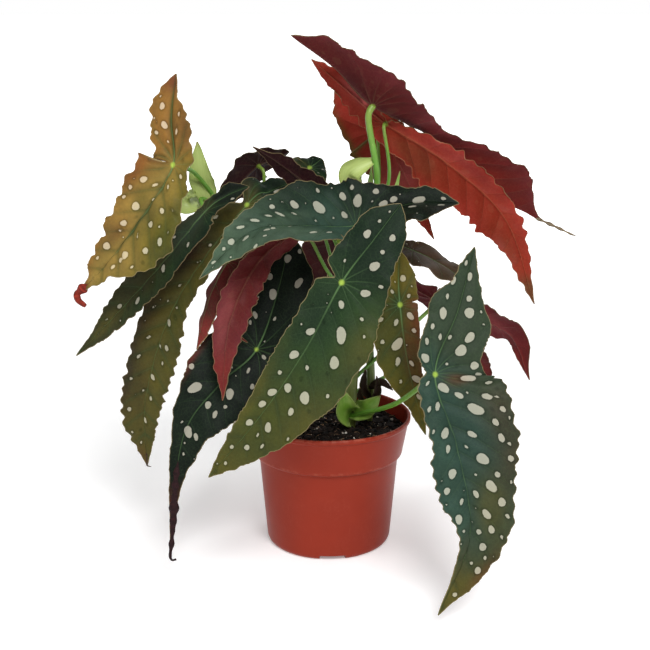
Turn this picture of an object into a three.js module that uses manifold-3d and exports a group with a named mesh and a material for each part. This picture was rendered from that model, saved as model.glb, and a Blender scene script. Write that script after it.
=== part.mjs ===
// A polka dot begonia in a plastic nursery pot, in millimetres, +Z up.
// The pot's axis is the Z axis and its foot stands on z = 0. The plant's front looks towards -Y.
import * as THREE from "three";
import { mergeVertices } from "three/addons/utils/BufferGeometryUtils.js";
import Module from "manifold-3d";

const wasm = await Module();
wasm.setup();

// ---- driving dimensions -------------------------------------------------------------------
const POT_HEIGHT = 96;
const POT_RIM_RADIUS = 60;
const POT_BAND_RADIUS = 54.5; // outer radius at the lower edge of the rim band
const POT_BAND_HEIGHT = 27;
const POT_BODY_TOP_RADIUS = 51.5;
const POT_BODY_FOOT_RADIUS = 45.5;
const POT_WALL = 1.8;
const POT_FLOOR_TOP = 6;
const POT_FLOOR_UNDERSIDE = 3.6;
const POT_FOOT_INNER_RADIUS = 39;
const POT_SIDES = 42;
const DRAIN_HOLES = 6;
const DRAIN_RADIUS = 4.5;
const DRAIN_RING_RADIUS = 28;
const FOOT_NOTCHES = 4;
const FOOT_NOTCH_WIDTH = 19;
const FOOT_NOTCH_HEIGHT = 3.4;
const FOOT_NOTCH_TURN = -86; // degrees from +X: the first notch lies just right of the front

const SOIL_TOP = 87;
const SOIL_SIDES = 30;
const SOIL_RINGS = 5;
const SOIL_LUMP = 1.6;
const SOIL_HOLE_CLEARANCE = 0.6; // around each cane, in the hole that it stands in

const CLEARANCE = 0.35; // left between pieces that touch
const BLADE = 0.8; // leaf thickness
const BLADE_TIP = 0.3; // half width at both tips
const SINUS_SPREAD = 0.16;
const SHOULDER_SLIP = 7; // how far the shoulders beside the sinus slide towards it
const TOOTH = 0.03; // the margin's coarse teeth, as a share of the half width
const LARGE_STATIONS = [0, 0.35, 0.75, 1.15, 1.5, 1.75, 2, 2.2, 2.45, 2.8, 3.2, 3.6, 4, 4.35, 4.7, 5];
const SMALL_STATIONS = [0, 0.4, 0.9, 1.4, 1.8, 2, 2.25, 2.7, 3.2, 3.7, 4.2, 4.6, 5];
const LARGE_SPREAD = [-1, -0.7, -0.35, 0, 0.35, 0.7, 1];
const SMALL_SPREAD = [-1, -0.55, 0, 0.55, 1];
const PETIOLE_SINK = 0.5; // gap between a petiole's end and the blade above it
const PETIOLE_RISE = 7; // the straight end of a petiole under its blade
const TUBE_SIDES = 6;
const STIPULE = 1.0; // stipule thickness
const CANE_STEPS = 9;
const CANE_TAPER = [1, 1, 0.9, 0.75]; // the cane's radius along its length, as shares
const PETIOLE_STEPS = 6;
const FINEST_EDGE = 0.05; // shorter edges left by a join are closed up

// ---- the leaves ---------------------------------------------------------------------------
// Each blade is an angel wing: a midrib that runs from the tip of the back lobe (station 0)
// through the petiole's junction (station 2) to the leaf's tip (station 5).
// A row holds: name, six midrib points, three facing directions of the upper side (stations
// 0, 2 and 5), the half widths at stations 0.5 to 4.5 on the right and on the left of the
// midrib as seen from above with the tip ahead turned to the right, [side of the sinus,
// its station, its depth as a share], [fold right, fold left, bend right, bend left] in
// degrees, and [wave height, waves].
const LARGE = 1;
const SMALL = 0;
const LEAVES = [
  ["leaf_gold_left", LARGE,
    [[-100, -30, 341], [-103, -38, 312], [-102, -45, 283], [-119, -52, 254], [-148, -52, 217], [-170, -44, 196]],
    [[-2, -10, 2], [-2, -10, 2], [-2, -10, 2]],
    [4, 14, 13, 14, 17, 29, 30, 11, 4], [12, 15, 15, 22, 26, 23, 17, 14, 4],
    [-1, 2.0, 0.72], [25, 5, -15, -15], [2.5, 5]],
  ["leaf_dark_left", LARGE,
    [[-55, -5, 263], [-71, -12, 257], [-85, -18, 247], [-112, -25, 215], [-145, -25, 179], [-179, -15, 144]],
    [[-4, -6, 7], [-4, -7, 6], [-3, -9, 4]],
    [6, 8, 9, 11, 14, 13, 13, 11, 6], [10, 9, 7, 6, 13, 19, 17, 12, 5],
    [1, 2.0, 0.3], [10, 10, -15, -15], [2.0, 4]],
  ["leaf_olive_left", LARGE,
    [[-26, 32, 261], [-42, 24, 255], [-58, 14, 247], [-107, -5, 182], [-131, -10, 113], [-133, -8, 58]],
    [[-3, -6, 6], [-3, -8, 4], [-2, -10, 2]],
    [8, 11, 12, 12, 12, 10, 17, 14, 8], [9, 12, 14, 15, 17, 20, 21, 18, 14],
    [-1, 2.0, 0.72], [10, 10, -15, -15], [2.0, 4]],
  ["leaf_front_high", LARGE,
    [[88, -28, 255], [54, -26, 254], [18, -30, 240], [-19, -43, 242], [-51, -60, 241], [-84, -74, 213]],
    [[0, -6, 8], [0, -6, 8], [0, -6, 8]],
    [26, 30, 31, 32, 36, 31, 28, 30, 12], [10, 13, 26, 33, 31, 30, 23, 14, 7],
    [1, 2.45, 0.5], [35, 35, -15, -15], [2.0, 4]],
  ["leaf_front_long", LARGE,
    [[46, -72, 262], [28, -82, 240], [8, -88, 214], [-15, -96, 172], [-44, -100, 129], [-79, -97, 85]],
    [[0, -10, 4], [0, -10, 4], [0, -10, 4]],
    [15, 20, 26, 32, 36, 37, 33, 26, 15], [13, 16, 16, 15, 16, 17, 16, 12, 8],
    [-1, 2.0, 0.6], [10, 10, -15, -15], [2.0, 4]],
  ["leaf_front_right", LARGE,
    [[95, -62, 232], [83, -80, 193], [68, -95, 155], [81, -115, 113], [89, -132, 60], [69, -145, 11]],
    [[1, -10, 3], [1, -10, 3], [1, -10, 3]],
    [9, 22, 27, 37, 42, 40, 33, 24, 13], [10, 20, 16, 14, 14, 18, 20, 9, 3],
    [-1, 2.0, 0.5], [10, 25, -15, -15], [2.0, 4]],
  ["leaf_olive_right", LARGE,
    [[49, -20, 221], [48, -25, 203], [49, -30, 185], [53, -35, 154], [60, -38, 122], [68, -38, 93]],
    [[1, -10, 3], [1, -10, 3], [1, -10, 3]],
    [8, 12, 13, 13, 12, 11, 9, 8, 4], [6, 11, 14, 18, 21, 21, 17, 10, 5],
    [1, 2.0, 0.3], [10, 10, -15, -15], [2.0, 4]],
  ["leaf_brown_right", SMALL,
    [[41, 20, 221], [50, 15, 218], [60, 10, 215], [76, 5, 208], [92, 0, 198], [107, -10, 183]],
    [[1, -3, 10], [1, -3, 10], [1, -3, 10]],
    [6, 9, 10, 12, 13, 13, 12, 8, 4], [8, 12, 14, 16, 18, 18, 16, 12, 6],
    [1, 2.0, 0.72], [10, 10, -15, -15], [2.0, 4]],
  ["leaf_red_right", LARGE,
    [[49, 40, 194], [64, 35, 182], [80, 30, 174], [111, 20, 162], [134, 10, 150], [146, 0, 121]],
    [[4, 8, 6], [4, 8, 6], [8, 6, 2]],
    [8, 12, 14, 15, 16, 15, 12, 8, 5], [6, 9, 10, 11, 12, 14, 15, 14, 8],
    [-1, 2.0, 0.72], [10, 10, -15, -15], [2.0, 4]],
  ["leaf_top", LARGE,
    [[-25, -16, 365], [4, -11, 344], [30, -2, 318], [78, 21, 291], [127, 31, 248], [178, 34, 222]],
    [[0, 1, 10], [0, 2, 10], [0, 6, 8]],
    [15, 22, 26, 30, 32, 31, 29, 22, 3], [16, 24, 28, 31, 21, 9, 27, 28, 2],
    [1, 2.0, 0.72], [46, 35, -15, -15], [2.0, 4]],
  ["leaf_top_red", LARGE,
    [[-12, 18, 348], [15, 17, 325], [40, 15, 304], [82, 6, 278], [123, -5, 240], [144, -16, 182]],
    [[-2, 9, 4], [-2, 9, 4], [-2, 9, 4]],
    [6, 8, 11, 14, 18, 26, 22, 19, 8], [6, 6, 5, 5, 7, 12, 12, 11, 6],
    [-1, 2.0, 0.5], [10, 20, -15, -15], [2.0, 4]],
  ["leaf_top_small", LARGE,
    [[6, 60, 329], [20, 58, 311], [37, 55, 294], [52, 50, 271], [64, 45, 246], [78, 40, 217]],
    [[-2, 9, 4], [-2, 9, 4], [-2, 9, 4]],
    [12, 18, 26, 29, 27, 22, 18, 12, 5], [10, 14, 16, 18, 18, 16, 10, 6, 3],
    [1, 2.0, 0.72], [10, 10, -15, -15], [2.0, 4]],
  ["leaf_crimson", LARGE,
    [[11, -8, 254], [-5, -14, 247], [-20, -24, 237], [-47, -44, 218], [-66, -60, 179], [-71, -70, 129]],
    [[2, 8, 5], [2, 8, 5], [5, 8, 2]],
    [6, 8, 9, 9, 9, 9, 12, 13, 9], [6, 8, 9, 10, 10, 10, 12, 12, 6],
    [-1, 2.0, 0.72], [10, 10, -15, -15], [2.0, 4]],
  ["leaf_black_left", LARGE,
    [[-27, 0, 229], [-35, -18, 193], [-50, -34, 154], [-75, -53, 134], [-99, -68, 100], [-109, -75, 17]],
    [[-1, -10, 3], [-1, -10, 3], [-1, -10, 3]],
    [18, 24, 30, 30, 29, 28, 23, 15, 3], [16, 22, 26, 28, 30, 27, 18, 8, 4],
    [-1, 2.0, 0.72], [10, 10, -15, -15], [2.0, 4]],
  ["leaf_folded_left", SMALL,
    [[-46, -15, 231], [-57, -22, 225], [-69, -30, 215], [-79, -38, 197], [-85, -44, 179], [-90, -48, 158]],
    [[-8, -6, 3], [-8, -6, 3], [-8, -6, 3]],
    [5, 7, 8, 9, 10, 11, 11, 9, 5], [5, 7, 9, 11, 12, 12, 11, 9, 5],
    [-1, 2.0, 0.72], [-15, -15, -15, -15], [2.0, 4]],
  ["leaf_maroon_back", SMALL,
    [[-29, 62, 279], [-40, 57, 275], [-52, 52, 270], [-62, 47, 261], [-73, 43, 249], [-84, 40, 234]],
    [[0, 7, 7], [0, 7, 7], [0, 7, 7]],
    [7, 10, 14, 17, 18, 17, 14, 9, 5], [7, 10, 13, 16, 17, 16, 13, 9, 5],
    [-1, 2.0, 0.72], [10, 10, -15, -15], [2.0, 4]],
  ["leaf_maroon_tip", SMALL,
    [[12, 10, 248], [4, 11, 252], [-5, 12, 258], [-20, 12, 266], [-36, 10, 278], [-53, 8, 289]],
    [[0, 8, 5], [0, 8, 5], [0, 8, 5]],
    [5, 7, 8, 9, 10, 10, 9, 7, 3], [5, 7, 8, 9, 10, 10, 9, 7, 3],
    [-1, 2.0, 0.72], [10, 10, -15, -15], [2.0, 4]],
  ["leaf_spotted_back", SMALL,
    [[-5, 70, 273], [-9, 66, 270], [-14, 62, 267], [-20, 56, 262], [-25, 50, 254], [-31, 44, 243]],
    [[0, -7, 7], [0, -7, 7], [0, -7, 7]],
    [6, 10, 14, 16, 18, 18, 15, 10, 5], [6, 9, 12, 14, 15, 14, 12, 9, 5],
    [-1, 2.0, 0.72], [10, 10, -15, -15], [2.0, 4]],
  ["leaf_back_left", LARGE,
    [[-33, 62, 232], [-41, 74, 210], [-49, 86, 188], [-59, 106, 138], [-69, 125, 81], [-77, 138, 32]],
    [[-2, 8, 6], [-2, 9, 5], [-3, 10, 2]],
    [8, 14, 20, 24, 27, 28, 24, 17, 9], [8, 13, 17, 18, 20, 22, 19, 13, 7],
    [-1, 2.0, 0.72], [10, 10, -15, -15], [2.0, 4]],
  ["leaf_back_middle", LARGE,
    [[18, 60, 249], [13, 80, 228], [8, 100, 205], [1, 125, 159], [-5, 138, 112], [-14, 144, 71]],
    [[1, 8, 6], [1, 9, 5], [0, 10, 2]],
    [8, 14, 20, 26, 28, 28, 24, 17, 9], [8, 13, 17, 20, 22, 23, 20, 14, 7],
    [1, 2.0, 0.72], [10, 10, -15, -15], [2.0, 4]],
  ["leaf_back_right", LARGE,
    [[84, 50, 178], [91, 65, 160], [97, 80, 137], [109, 105, 96], [119, 122, 56], [125, 132, 12]],
    [[3, 8, 6], [3, 9, 5], [3, 10, 2]],
    [7, 11, 15, 18, 20, 20, 17, 12, 6], [7, 12, 16, 20, 23, 24, 21, 15, 8],
    [1, 2.0, 0.72], [10, 10, -15, -15], [2.0, 4]],
  ["leaf_back_high", SMALL,
    [[-78, 52, 226], [-89, 58, 224], [-101, 66, 222], [-117, 87, 210], [-132, 105, 196], [-144, 116, 173]],
    [[-2, 6, 8], [-3, 7, 7], [-4, 8, 4]],
    [6, 9, 12, 14, 16, 17, 15, 10, 6], [6, 10, 14, 17, 19, 20, 17, 12, 6],
    [-1, 2.0, 0.72], [10, 10, -15, -15], [2.0, 4]],
];

// ---- the canes, petioles and stipules -----------------------------------------------------
// Canes: name, radius, points from below the soil to the growing tip.
const CANES = [
  ["cane_main", 4.8, [[14, -3, 63], [15, -1, 90], [17, 2, 130], [19, 4, 170], [20, 6, 215], [20, 8, 262]]],
  ["cane_left", 4.2, [[-6, 12, 63], [-8, 15, 90], [-16, 26, 132], [-34, 34, 178], [-60, 34, 222], [-86, 24, 256]]],
];
// Petioles: the leaf, its cane, the radius, the point on the cane and a point on the way.
const PETIOLES = [
  ["leaf_gold_left", "cane_left", 2.0, [-84, 25, 254], [-94, 2, 272]],
  ["leaf_dark_left", "cane_left", 1.8, [-76, 28, 243], [-90, 10, 252]],
  ["leaf_olive_left", "cane_left", 1.8, [-41, 34, 190], [-54, 38, 220]],
  ["leaf_front_high", "cane_main", 2.0, [20, 6, 198], [20, -2, 216]],
  ["leaf_front_long", "cane_main", 2.2, [17, 2, 126], [14, -38, 170]],
  ["leaf_front_right", "cane_main", 2.2, [15, -2, 94], [46, -44, 118]],
  ["leaf_olive_right", "cane_main", 1.8, [18, 3, 140], [36, -6, 164]],
  ["leaf_brown_right", "cane_main", 1.6, [19, 5, 174], [42, 8, 198]],
  ["leaf_red_right", "cane_main", 1.8, [17, 2, 120], [50, 8, 150]],
  ["leaf_top", "cane_main", 2.6, [20, 7, 236], [33, -1, 262]],
  ["leaf_top_red", "cane_main", 1.6, [20, 7, 226], [42, 14, 262]],
  ["leaf_top_small", "cane_main", 1.6, [20, 6, 212], [36, 36, 256]],
  ["leaf_crimson", "cane_main", 1.6, [19, 4, 182], [0, -24, 206]],
  ["leaf_black_left", "cane_main", 2.0, [15, 0, 98], [-20, -6, 122]],
  ["leaf_folded_left", "cane_left", 1.6, [-34, 34, 178], [-54, 12, 198]],
  ["leaf_maroon_back", "cane_left", 1.6, [-50, 34, 206], [-50, 50, 234]],
  ["leaf_maroon_tip", "cane_main", 1.6, [19, 5, 190], [2, 18, 226]],
  ["leaf_spotted_back", "cane_main", 1.6, [18, 3, 160], [-4, 48, 222]],
  ["leaf_back_left", "cane_left", 1.8, [-16, 26, 132], [-40, 50, 160]],
  ["leaf_back_middle", "cane_main", 1.8, [17, 2, 134], [14, 54, 172]],
  ["leaf_back_right", "cane_main", 1.8, [16, 0, 110], [62, 40, 122]],
  ["leaf_back_high", "cane_left", 1.6, [-64, 33, 227], [-80, 48, 208]],
];
// Stipules: the cane they grow on, foot, a point on the way, tip, half width, the direction
// that their hollow side faces, and how far they cup, in degrees.
const STIPULES = [
  ["cane_main", [19, 4, 256], [14, -6, 272], [34, -2, 282], 10, [1, -3, 1], 60],
  ["cane_main", [15, -4, 93], [12, -16, 104], [12, -18, 118], 11, [2, -8, 5], 55],
  ["cane_main", [16, 0, 96], [27, -12, 103], [37, -15, 114], 9, [1, -8, 5], 55],
  ["cane_main", [20, 8, 236], [27, 8, 254], [30, 6, 276], 4, [3, -4, 1], 50],
  ["cane_main", [20, 8, 228], [42, 10, 246], [50, 8, 272], 4, [3, -4, 1], 50],
  ["cane_left", [-84, 24, 248], [-92, 15, 266], [-92, 12, 292], 9, [3, -6, 1], 60],
  ["cane_left", [-85, 23, 248], [-100, 10, 250], [-104, 8, 264], 9, [-3, -6, 4], 60],
];
const BRACT = ["cane_main", [14, -38, 170], [2, -52, 184], [-1, -56, 212], 3.2, [0, -10, 2], 50];

// ---- shared shape helpers -----------------------------------------------------------------
const vector = (list) => new THREE.Vector3(...list);
const radians = THREE.MathUtils.degToRad;

// A point and the tangent on a uniform Catmull-Rom curve; the ends are mirrored outwards.
function curvePoint(points, station) {
  const last = points.length - 1;
  const span = Math.min(Math.floor(station), last - 1);
  const k = station - span;
  const before = span > 0 ? points[span - 1] : points[0].clone().multiplyScalar(2).sub(points[1]);
  const a = points[span];
  const b = points[span + 1];
  const after = span + 2 <= last ? points[span + 2] : b.clone().multiplyScalar(2).sub(a);
  const mix = (w0, w1, w2, w3) => new THREE.Vector3()
    .addScaledVector(before, w0).addScaledVector(a, w1).addScaledVector(b, w2).addScaledVector(after, w3);
  const point = mix(
    (-k + 2 * k ** 2 - k ** 3) / 2, (2 - 5 * k ** 2 + 3 * k ** 3) / 2,
    (k + 4 * k ** 2 - 3 * k ** 3) / 2, (-(k ** 2) + k ** 3) / 2);
  const tangent = mix(
    (-1 + 4 * k - 3 * k ** 2) / 2, (-10 * k + 9 * k ** 2) / 2,
    (1 + 8 * k - 9 * k ** 2) / 2, (-2 * k + 3 * k ** 2) / 2).normalize();
  return { point, tangent };
}

// A closed body from rings of equal size, with flat fans at both ends.
function ringSolid(rings) {
  const size = rings[0].length;
  const positions = rings.flat().flatMap((p) => [p.x, p.y, p.z]);
  const faces = [];
  for (let r = 0; r + 1 < rings.length; r++) {
    for (let i = 0; i < size; i++) {
      const a = r * size + i;
      const b = r * size + (i + 1) % size;
      faces.push(a, b, b + size, a, b + size, a + size);
    }
  }
  for (let i = 1; i + 1 < size; i++) {
    const top = (rings.length - 1) * size;
    faces.push(0, i + 1, i, top, top + i, top + i + 1);
  }
  const geometry = new THREE.BufferGeometry();
  geometry.setAttribute("position", new THREE.Float32BufferAttribute(positions, 3));
  geometry.setIndex(faces);
  return geometry;
}

// A closed sheet around rows of points with normals, split alike on both faces.
function sheetSolid(sheet, thickness) {
  const columns = sheet[0].length;
  const under = sheet.length * columns;
  const positions = [];
  for (const lift of [thickness / 2, -thickness / 2]) {
    for (const { point, normal } of sheet.flat()) {
      positions.push(...point.clone().addScaledVector(normal, lift).toArray());
    }
  }
  const faces = [];
  const wall = (a, b) => faces.push(a, b, under + b, a, under + b, under + a);
  for (let i = 0; i + 1 < sheet.length; i++) {
    for (let j = 0; j + 1 < columns; j++) {
      const a = i * columns + j;
      const b = a + columns;
      faces.push(a, b, b + 1, a, b + 1, a + 1);
      faces.push(under + a, under + b + 1, under + b, under + a, under + a + 1, under + b + 1);
    }
    wall((i + 1) * columns, i * columns);
    wall(i * columns + columns - 1, (i + 2) * columns - 1);
  }
  for (let j = 0; j + 1 < columns; j++) {
    wall(j, j + 1);
    wall(under - columns + j + 1, under - columns + j);
  }
  const geometry = new THREE.BufferGeometry();
  geometry.setAttribute("position", new THREE.Float32BufferAttribute(positions, 3));
  geometry.setIndex(faces);
  return geometry;
}

function toManifold(geometry) {
  const plain = geometry.clone();
  plain.deleteAttribute("normal");
  plain.deleteAttribute("uv");
  const merged = mergeVertices(plain, 1e-4);
  const mesh = new wasm.Mesh({
    numProp: 3,
    vertProperties: new Float32Array(merged.attributes.position.array),
    triVerts: new Uint32Array(merged.index.array),
  });
  return new wasm.Manifold(mesh);
}

function fromManifold(body) {
  const mesh = body.simplify(FINEST_EDGE).getMesh();
  const geometry = new THREE.BufferGeometry();
  geometry.setAttribute("position", new THREE.Float32BufferAttribute(mesh.vertProperties, 3));
  geometry.setIndex(Array.from(mesh.triVerts));
  return geometry;
}

// Keeps the largest body, so that no loose scrap is left after a cut.
function largest(body) {
  const parts = body.decompose();
  return parts.reduce((best, part) => (part.volume() > best.volume() ? part : best));
}

// A small repeatable noise from -1 to 1.
function noise(i, j) {
  const value = Math.sin(i * 127.1 + j * 311.7) * 43758.5453;
  return 2 * (value - Math.floor(value)) - 1;
}

// ---- pot ----------------------------------------------------------------------------------
function potGeometry() {
  const bandFoot = POT_HEIGHT - POT_BAND_HEIGHT;
  const profile = [
    [0, POT_FLOOR_UNDERSIDE], [POT_FOOT_INNER_RADIUS - 1, POT_FLOOR_UNDERSIDE],
    [POT_FOOT_INNER_RADIUS, 0], [POT_BODY_FOOT_RADIUS - 3, 0],
    [POT_BODY_FOOT_RADIUS - 1, 1], [POT_BODY_FOOT_RADIUS, 3.5],
    [POT_BODY_TOP_RADIUS, bandFoot - 2], [POT_BAND_RADIUS - 1, bandFoot - 1],
    [POT_BAND_RADIUS, bandFoot + 1], [POT_RIM_RADIUS - 0.6, POT_HEIGHT - 3],
    [POT_RIM_RADIUS, POT_HEIGHT - 2], [POT_RIM_RADIUS - 0.4, POT_HEIGHT - 0.3],
    [POT_RIM_RADIUS - 1.4, POT_HEIGHT], [POT_RIM_RADIUS - 2.6, POT_HEIGHT - 1.4],
    [POT_BAND_RADIUS - POT_WALL, bandFoot + 1], [POT_BODY_TOP_RADIUS - POT_WALL, bandFoot - 3],
    [POT_BODY_FOOT_RADIUS - POT_WALL, POT_FLOOR_TOP + 3],
    [POT_BODY_FOOT_RADIUS - POT_WALL - 2.5, POT_FLOOR_TOP], [0, POT_FLOOR_TOP],
  ].map(([r, z]) => new THREE.Vector2(r, z));
  const shell = new THREE.LatheGeometry(profile, POT_SIDES).rotateX(Math.PI / 2);
  let body = toManifold(shell);
  for (let i = 0; i < DRAIN_HOLES; i++) {
    const angle = 2 * Math.PI * i / DRAIN_HOLES;
    const hole = new THREE.CylinderGeometry(DRAIN_RADIUS, DRAIN_RADIUS, 20, 8).rotateX(Math.PI / 2);
    hole.translate(DRAIN_RING_RADIUS * Math.cos(angle), DRAIN_RING_RADIUS * Math.sin(angle), 4);
    body = body.subtract(toManifold(hole));
  }
  for (let i = 0; i < FOOT_NOTCHES; i++) {
    const notch = new THREE.BoxGeometry(16, FOOT_NOTCH_WIDTH, 2 * FOOT_NOTCH_HEIGHT);
    notch.translate(POT_BODY_FOOT_RADIUS, 0, 0);
    notch.rotateZ(radians(FOOT_NOTCH_TURN) + Math.PI / 2 * i);
    body = body.subtract(toManifold(notch));
  }
  return fromManifold(body);
}

// ---- soil ---------------------------------------------------------------------------------
// The radius of the pot's inner wall at a height.
function potInside(z) {
  const neck = POT_HEIGHT - POT_BAND_HEIGHT - 3;
  if (z > neck) {
    const share = (z - neck) / (POT_HEIGHT - neck);
    return THREE.MathUtils.lerp(POT_BODY_TOP_RADIUS - POT_WALL, POT_RIM_RADIUS - 3, share);
  }
  const share = (z - POT_FLOOR_TOP - 3) / (neck - POT_FLOOR_TOP - 3);
  return THREE.MathUtils.lerp(POT_BODY_FOOT_RADIUS - POT_WALL, POT_BODY_TOP_RADIUS - POT_WALL, share);
}

function soilGeometry() {
  const neck = POT_HEIGHT - POT_BAND_HEIGHT - 3;
  const gap = CLEARANCE + 0.4; // the wall's facets come a little inside its radius
  const ring = (radius, z, lump, seed) => Array.from({ length: SOIL_SIDES }, (_, i) => {
    const angle = 2 * Math.PI * i / SOIL_SIDES;
    return new THREE.Vector3(radius * Math.cos(angle), radius * Math.sin(angle), z + lump * noise(i, seed));
  });
  const rings = [
    ring(POT_BODY_FOOT_RADIUS - POT_WALL - 3.4, POT_FLOOR_TOP + CLEARANCE, 0, 0),
    ring(potInside(POT_FLOOR_TOP + 4) - gap, POT_FLOOR_TOP + 4, 0, 0),
    ring(potInside(neck) - gap, neck, 0, 0),
    ring(potInside(SOIL_TOP - 4) - gap, SOIL_TOP - 4, 0, 0),
  ];
  for (let k = 0; k < SOIL_RINGS; k++) {
    const radius = (potInside(SOIL_TOP - 4) - gap - 1) * (1 - k / SOIL_RINGS);
    rings.push(ring(radius, SOIL_TOP - (k === 0 ? 2 : 0), SOIL_LUMP, k + 1));
  }
  let body = toManifold(ringSolid(rings));
  for (const [, radius, points] of CANES) {
    const path = points.map(vector);
    path[0].z -= CLEARANCE;
    const wide = CANE_TAPER.map((share) => radius * share + SOIL_HOLE_CLEARANCE);
    body = body.subtract(toManifold(tube(path, wide, CANE_STEPS)));
  }
  return fromManifold(largest(body));
}

// ---- canes and petioles -------------------------------------------------------------------
// A tube along points, with the radii spread evenly along it.
function tube(points, radii, steps) {
  const curve = new THREE.CatmullRomCurve3(points);
  const frames = curve.computeFrenetFrames(steps, false);
  const rings = [];
  for (let i = 0; i <= steps; i++) {
    const centre = curve.getPointAt(i / steps);
    const place = i / steps * (radii.length - 1);
    const low = Math.floor(place);
    const high = Math.min(low + 1, radii.length - 1);
    const radius = THREE.MathUtils.lerp(radii[low], radii[high], place - low);
    rings.push(Array.from({ length: TUBE_SIDES }, (_, k) => {
      const angle = 2 * Math.PI * k / TUBE_SIDES;
      return centre.clone().addScaledVector(frames.normals[i], radius * Math.cos(angle))
        .addScaledVector(frames.binormals[i], radius * Math.sin(angle));
    }));
  }
  return ringSolid(rings);
}

// A cupped, pointed stipule: a lens-shaped sheet bent about its length.
function stipuleGeometry([, foot, middle, tip, halfWidth, facing, cup]) {
  const points = [foot, middle, tip].map(vector);
  const stations = [0, 0.3, 0.7, 1.1, 1.5, 1.8, 2];
  const spread = [-1, -0.5, 0, 0.5, 1];
  const widths = [0.35, 0.8, 1, 0.95, 0.65, 0.3, 0.06];
  const sheet = stations.map((station, row) => {
    const { point, tangent } = curvePoint(points, station);
    const front = vector(facing).normalize();
    front.addScaledVector(tangent, -front.dot(tangent)).normalize();
    const side = front.clone().cross(tangent);
    const half = halfWidth * widths[row];
    return spread.map((t) => {
      const turn = radians(cup) * t;
      const across = half * Math.sin(turn) / radians(cup);
      const rise = half * (1 - Math.cos(turn)) / radians(cup);
      const normal = front.clone().multiplyScalar(Math.cos(turn)).addScaledVector(side, -Math.sin(turn));
      return { point: point.clone().addScaledVector(side, across).addScaledVector(front, rise), normal };
    });
  });
  return sheetSolid(sheet, STIPULE);
}

function caneGeometry(name, radius, points, blades) {
  const path = points.map(vector);
  let body = toManifold(tube(path, CANE_TAPER.map((share) => radius * share), CANE_STEPS));
  for (const [leaf, cane, petioleRadius, start, middle] of PETIOLES) {
    if (cane !== name) continue;
    const blade = blades.get(leaf);
    const { point, up } = blade.frame(2);
    const end = point.clone().addScaledVector(up, -(BLADE / 2 + PETIOLE_SINK));
    const below = point.clone().addScaledVector(up, -PETIOLE_RISE);
    const stalk = tube([vector(start), vector(middle), below, end],
      [petioleRadius * 1.25, petioleRadius, petioleRadius, petioleRadius * 0.8], PETIOLE_STEPS);
    body = body.add(toManifold(stalk));
  }
  const sheets = name === BRACT[0] ? [...STIPULES, BRACT] : STIPULES;
  for (const row of sheets) {
    if (row[0] === name) body = body.add(toManifold(stipuleGeometry(row)));
  }
  return fromManifold(largest(body));
}

// ---- leaves -------------------------------------------------------------------------------
class Blade {
  constructor([, , spine, facing, right, left, sinus, bends, waves]) {
    this.spine = spine.map(vector);
    this.facing = facing.map((f) => vector(f).normalize());
    this.widths = { 1: right, [-1]: left };
    this.sinusSide = sinus[0];
    this.sinusStation = sinus[1];
    this.sinusDepth = sinus[2];
    this.folds = { 1: radians(bends[0]), [-1]: radians(bends[1]) };
    this.bends = { 1: radians(bends[2]), [-1]: radians(bends[3]) };
    this.waveHeight = waves[0];
    this.waveCount = waves[1];
  }

  // The midrib's point, its direction, the upper side's direction and the one to the right.
  frame(station) {
    const { point, tangent } = curvePoint(this.spine, station);
    const [low, high, share] = station < 2 ? [0, 1, station / 2] : [1, 2, (station - 2) / 3];
    const up = this.facing[low].clone().lerp(this.facing[high], share);
    up.addScaledVector(tangent, -up.dot(tangent)).normalize();
    return { point, tangent, up, right: up.clone().cross(tangent) };
  }

  // The half width on a side, a smooth curve through the listed widths, cut in by the sinus.
  halfWidth(station, side) {
    const list = [BLADE_TIP, ...this.widths[side], BLADE_TIP];
    const slope = (i) => {
      if (i === 0) return (list[1] - list[0]) * 2.8;
      if (i === 10) return (list[10] - list[9]) * 2.2;
      return list[i + 1] - list[i - 1];
    };
    const i = Math.min(Math.floor(station * 2), 9);
    const k = station * 2 - i;
    let width = (2 * k ** 3 - 3 * k ** 2 + 1) * list[i] + (k ** 3 - 2 * k ** 2 + k) * 0.5 * slope(i)
      + (3 * k ** 2 - 2 * k ** 3) * list[i + 1] + (k ** 3 - k ** 2) * 0.5 * slope(i + 1);
    if (side === this.sinusSide) {
      width *= 1 - this.sinusDepth * Math.exp(-(((station - this.sinusStation) / SINUS_SPREAD) ** 2));
    }
    return Math.max(width, BLADE_TIP);
  }

  // A point of the middle sheet: station along the midrib, across from -1 (left) to 1 (right).
  surface(station, across) {
    const { point, tangent, up, right } = this.frame(station);
    const side = across >= 0 ? 1 : -1;
    const share = Math.abs(across);
    const half = this.halfWidth(station, side);
    const fold = this.folds[side];
    const bend = this.bends[side] * share;
    const reach = half * share;
    const flat = reach * (Math.sin(fold + bend) - Math.sin(fold)) / (bend || 1);
    const rise = reach * (Math.cos(fold) - Math.cos(fold + bend)) / (bend || 1);
    const phase = 2 * Math.PI * station / 5 * this.waveCount + 0.7 * side;
    const wave = this.waveHeight * Math.sin(phase) * share ** 2.5 * Math.min(1, half / 15);
    let slip = 0;
    if (side === this.sinusSide) {
      const ahead = Math.exp(-(((station - this.sinusStation - 0.35) / 0.3) ** 2));
      const behind = Math.exp(-(((station - this.sinusStation + 0.4) / 0.3) ** 2));
      slip = SHOULDER_SLIP * share ** 2 * (0.6 * behind - ahead);
    }
    return point.clone().addScaledVector(right, side * flat).addScaledVector(up, rise + wave)
      .addScaledVector(tangent, slip);
  }
}

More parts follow.
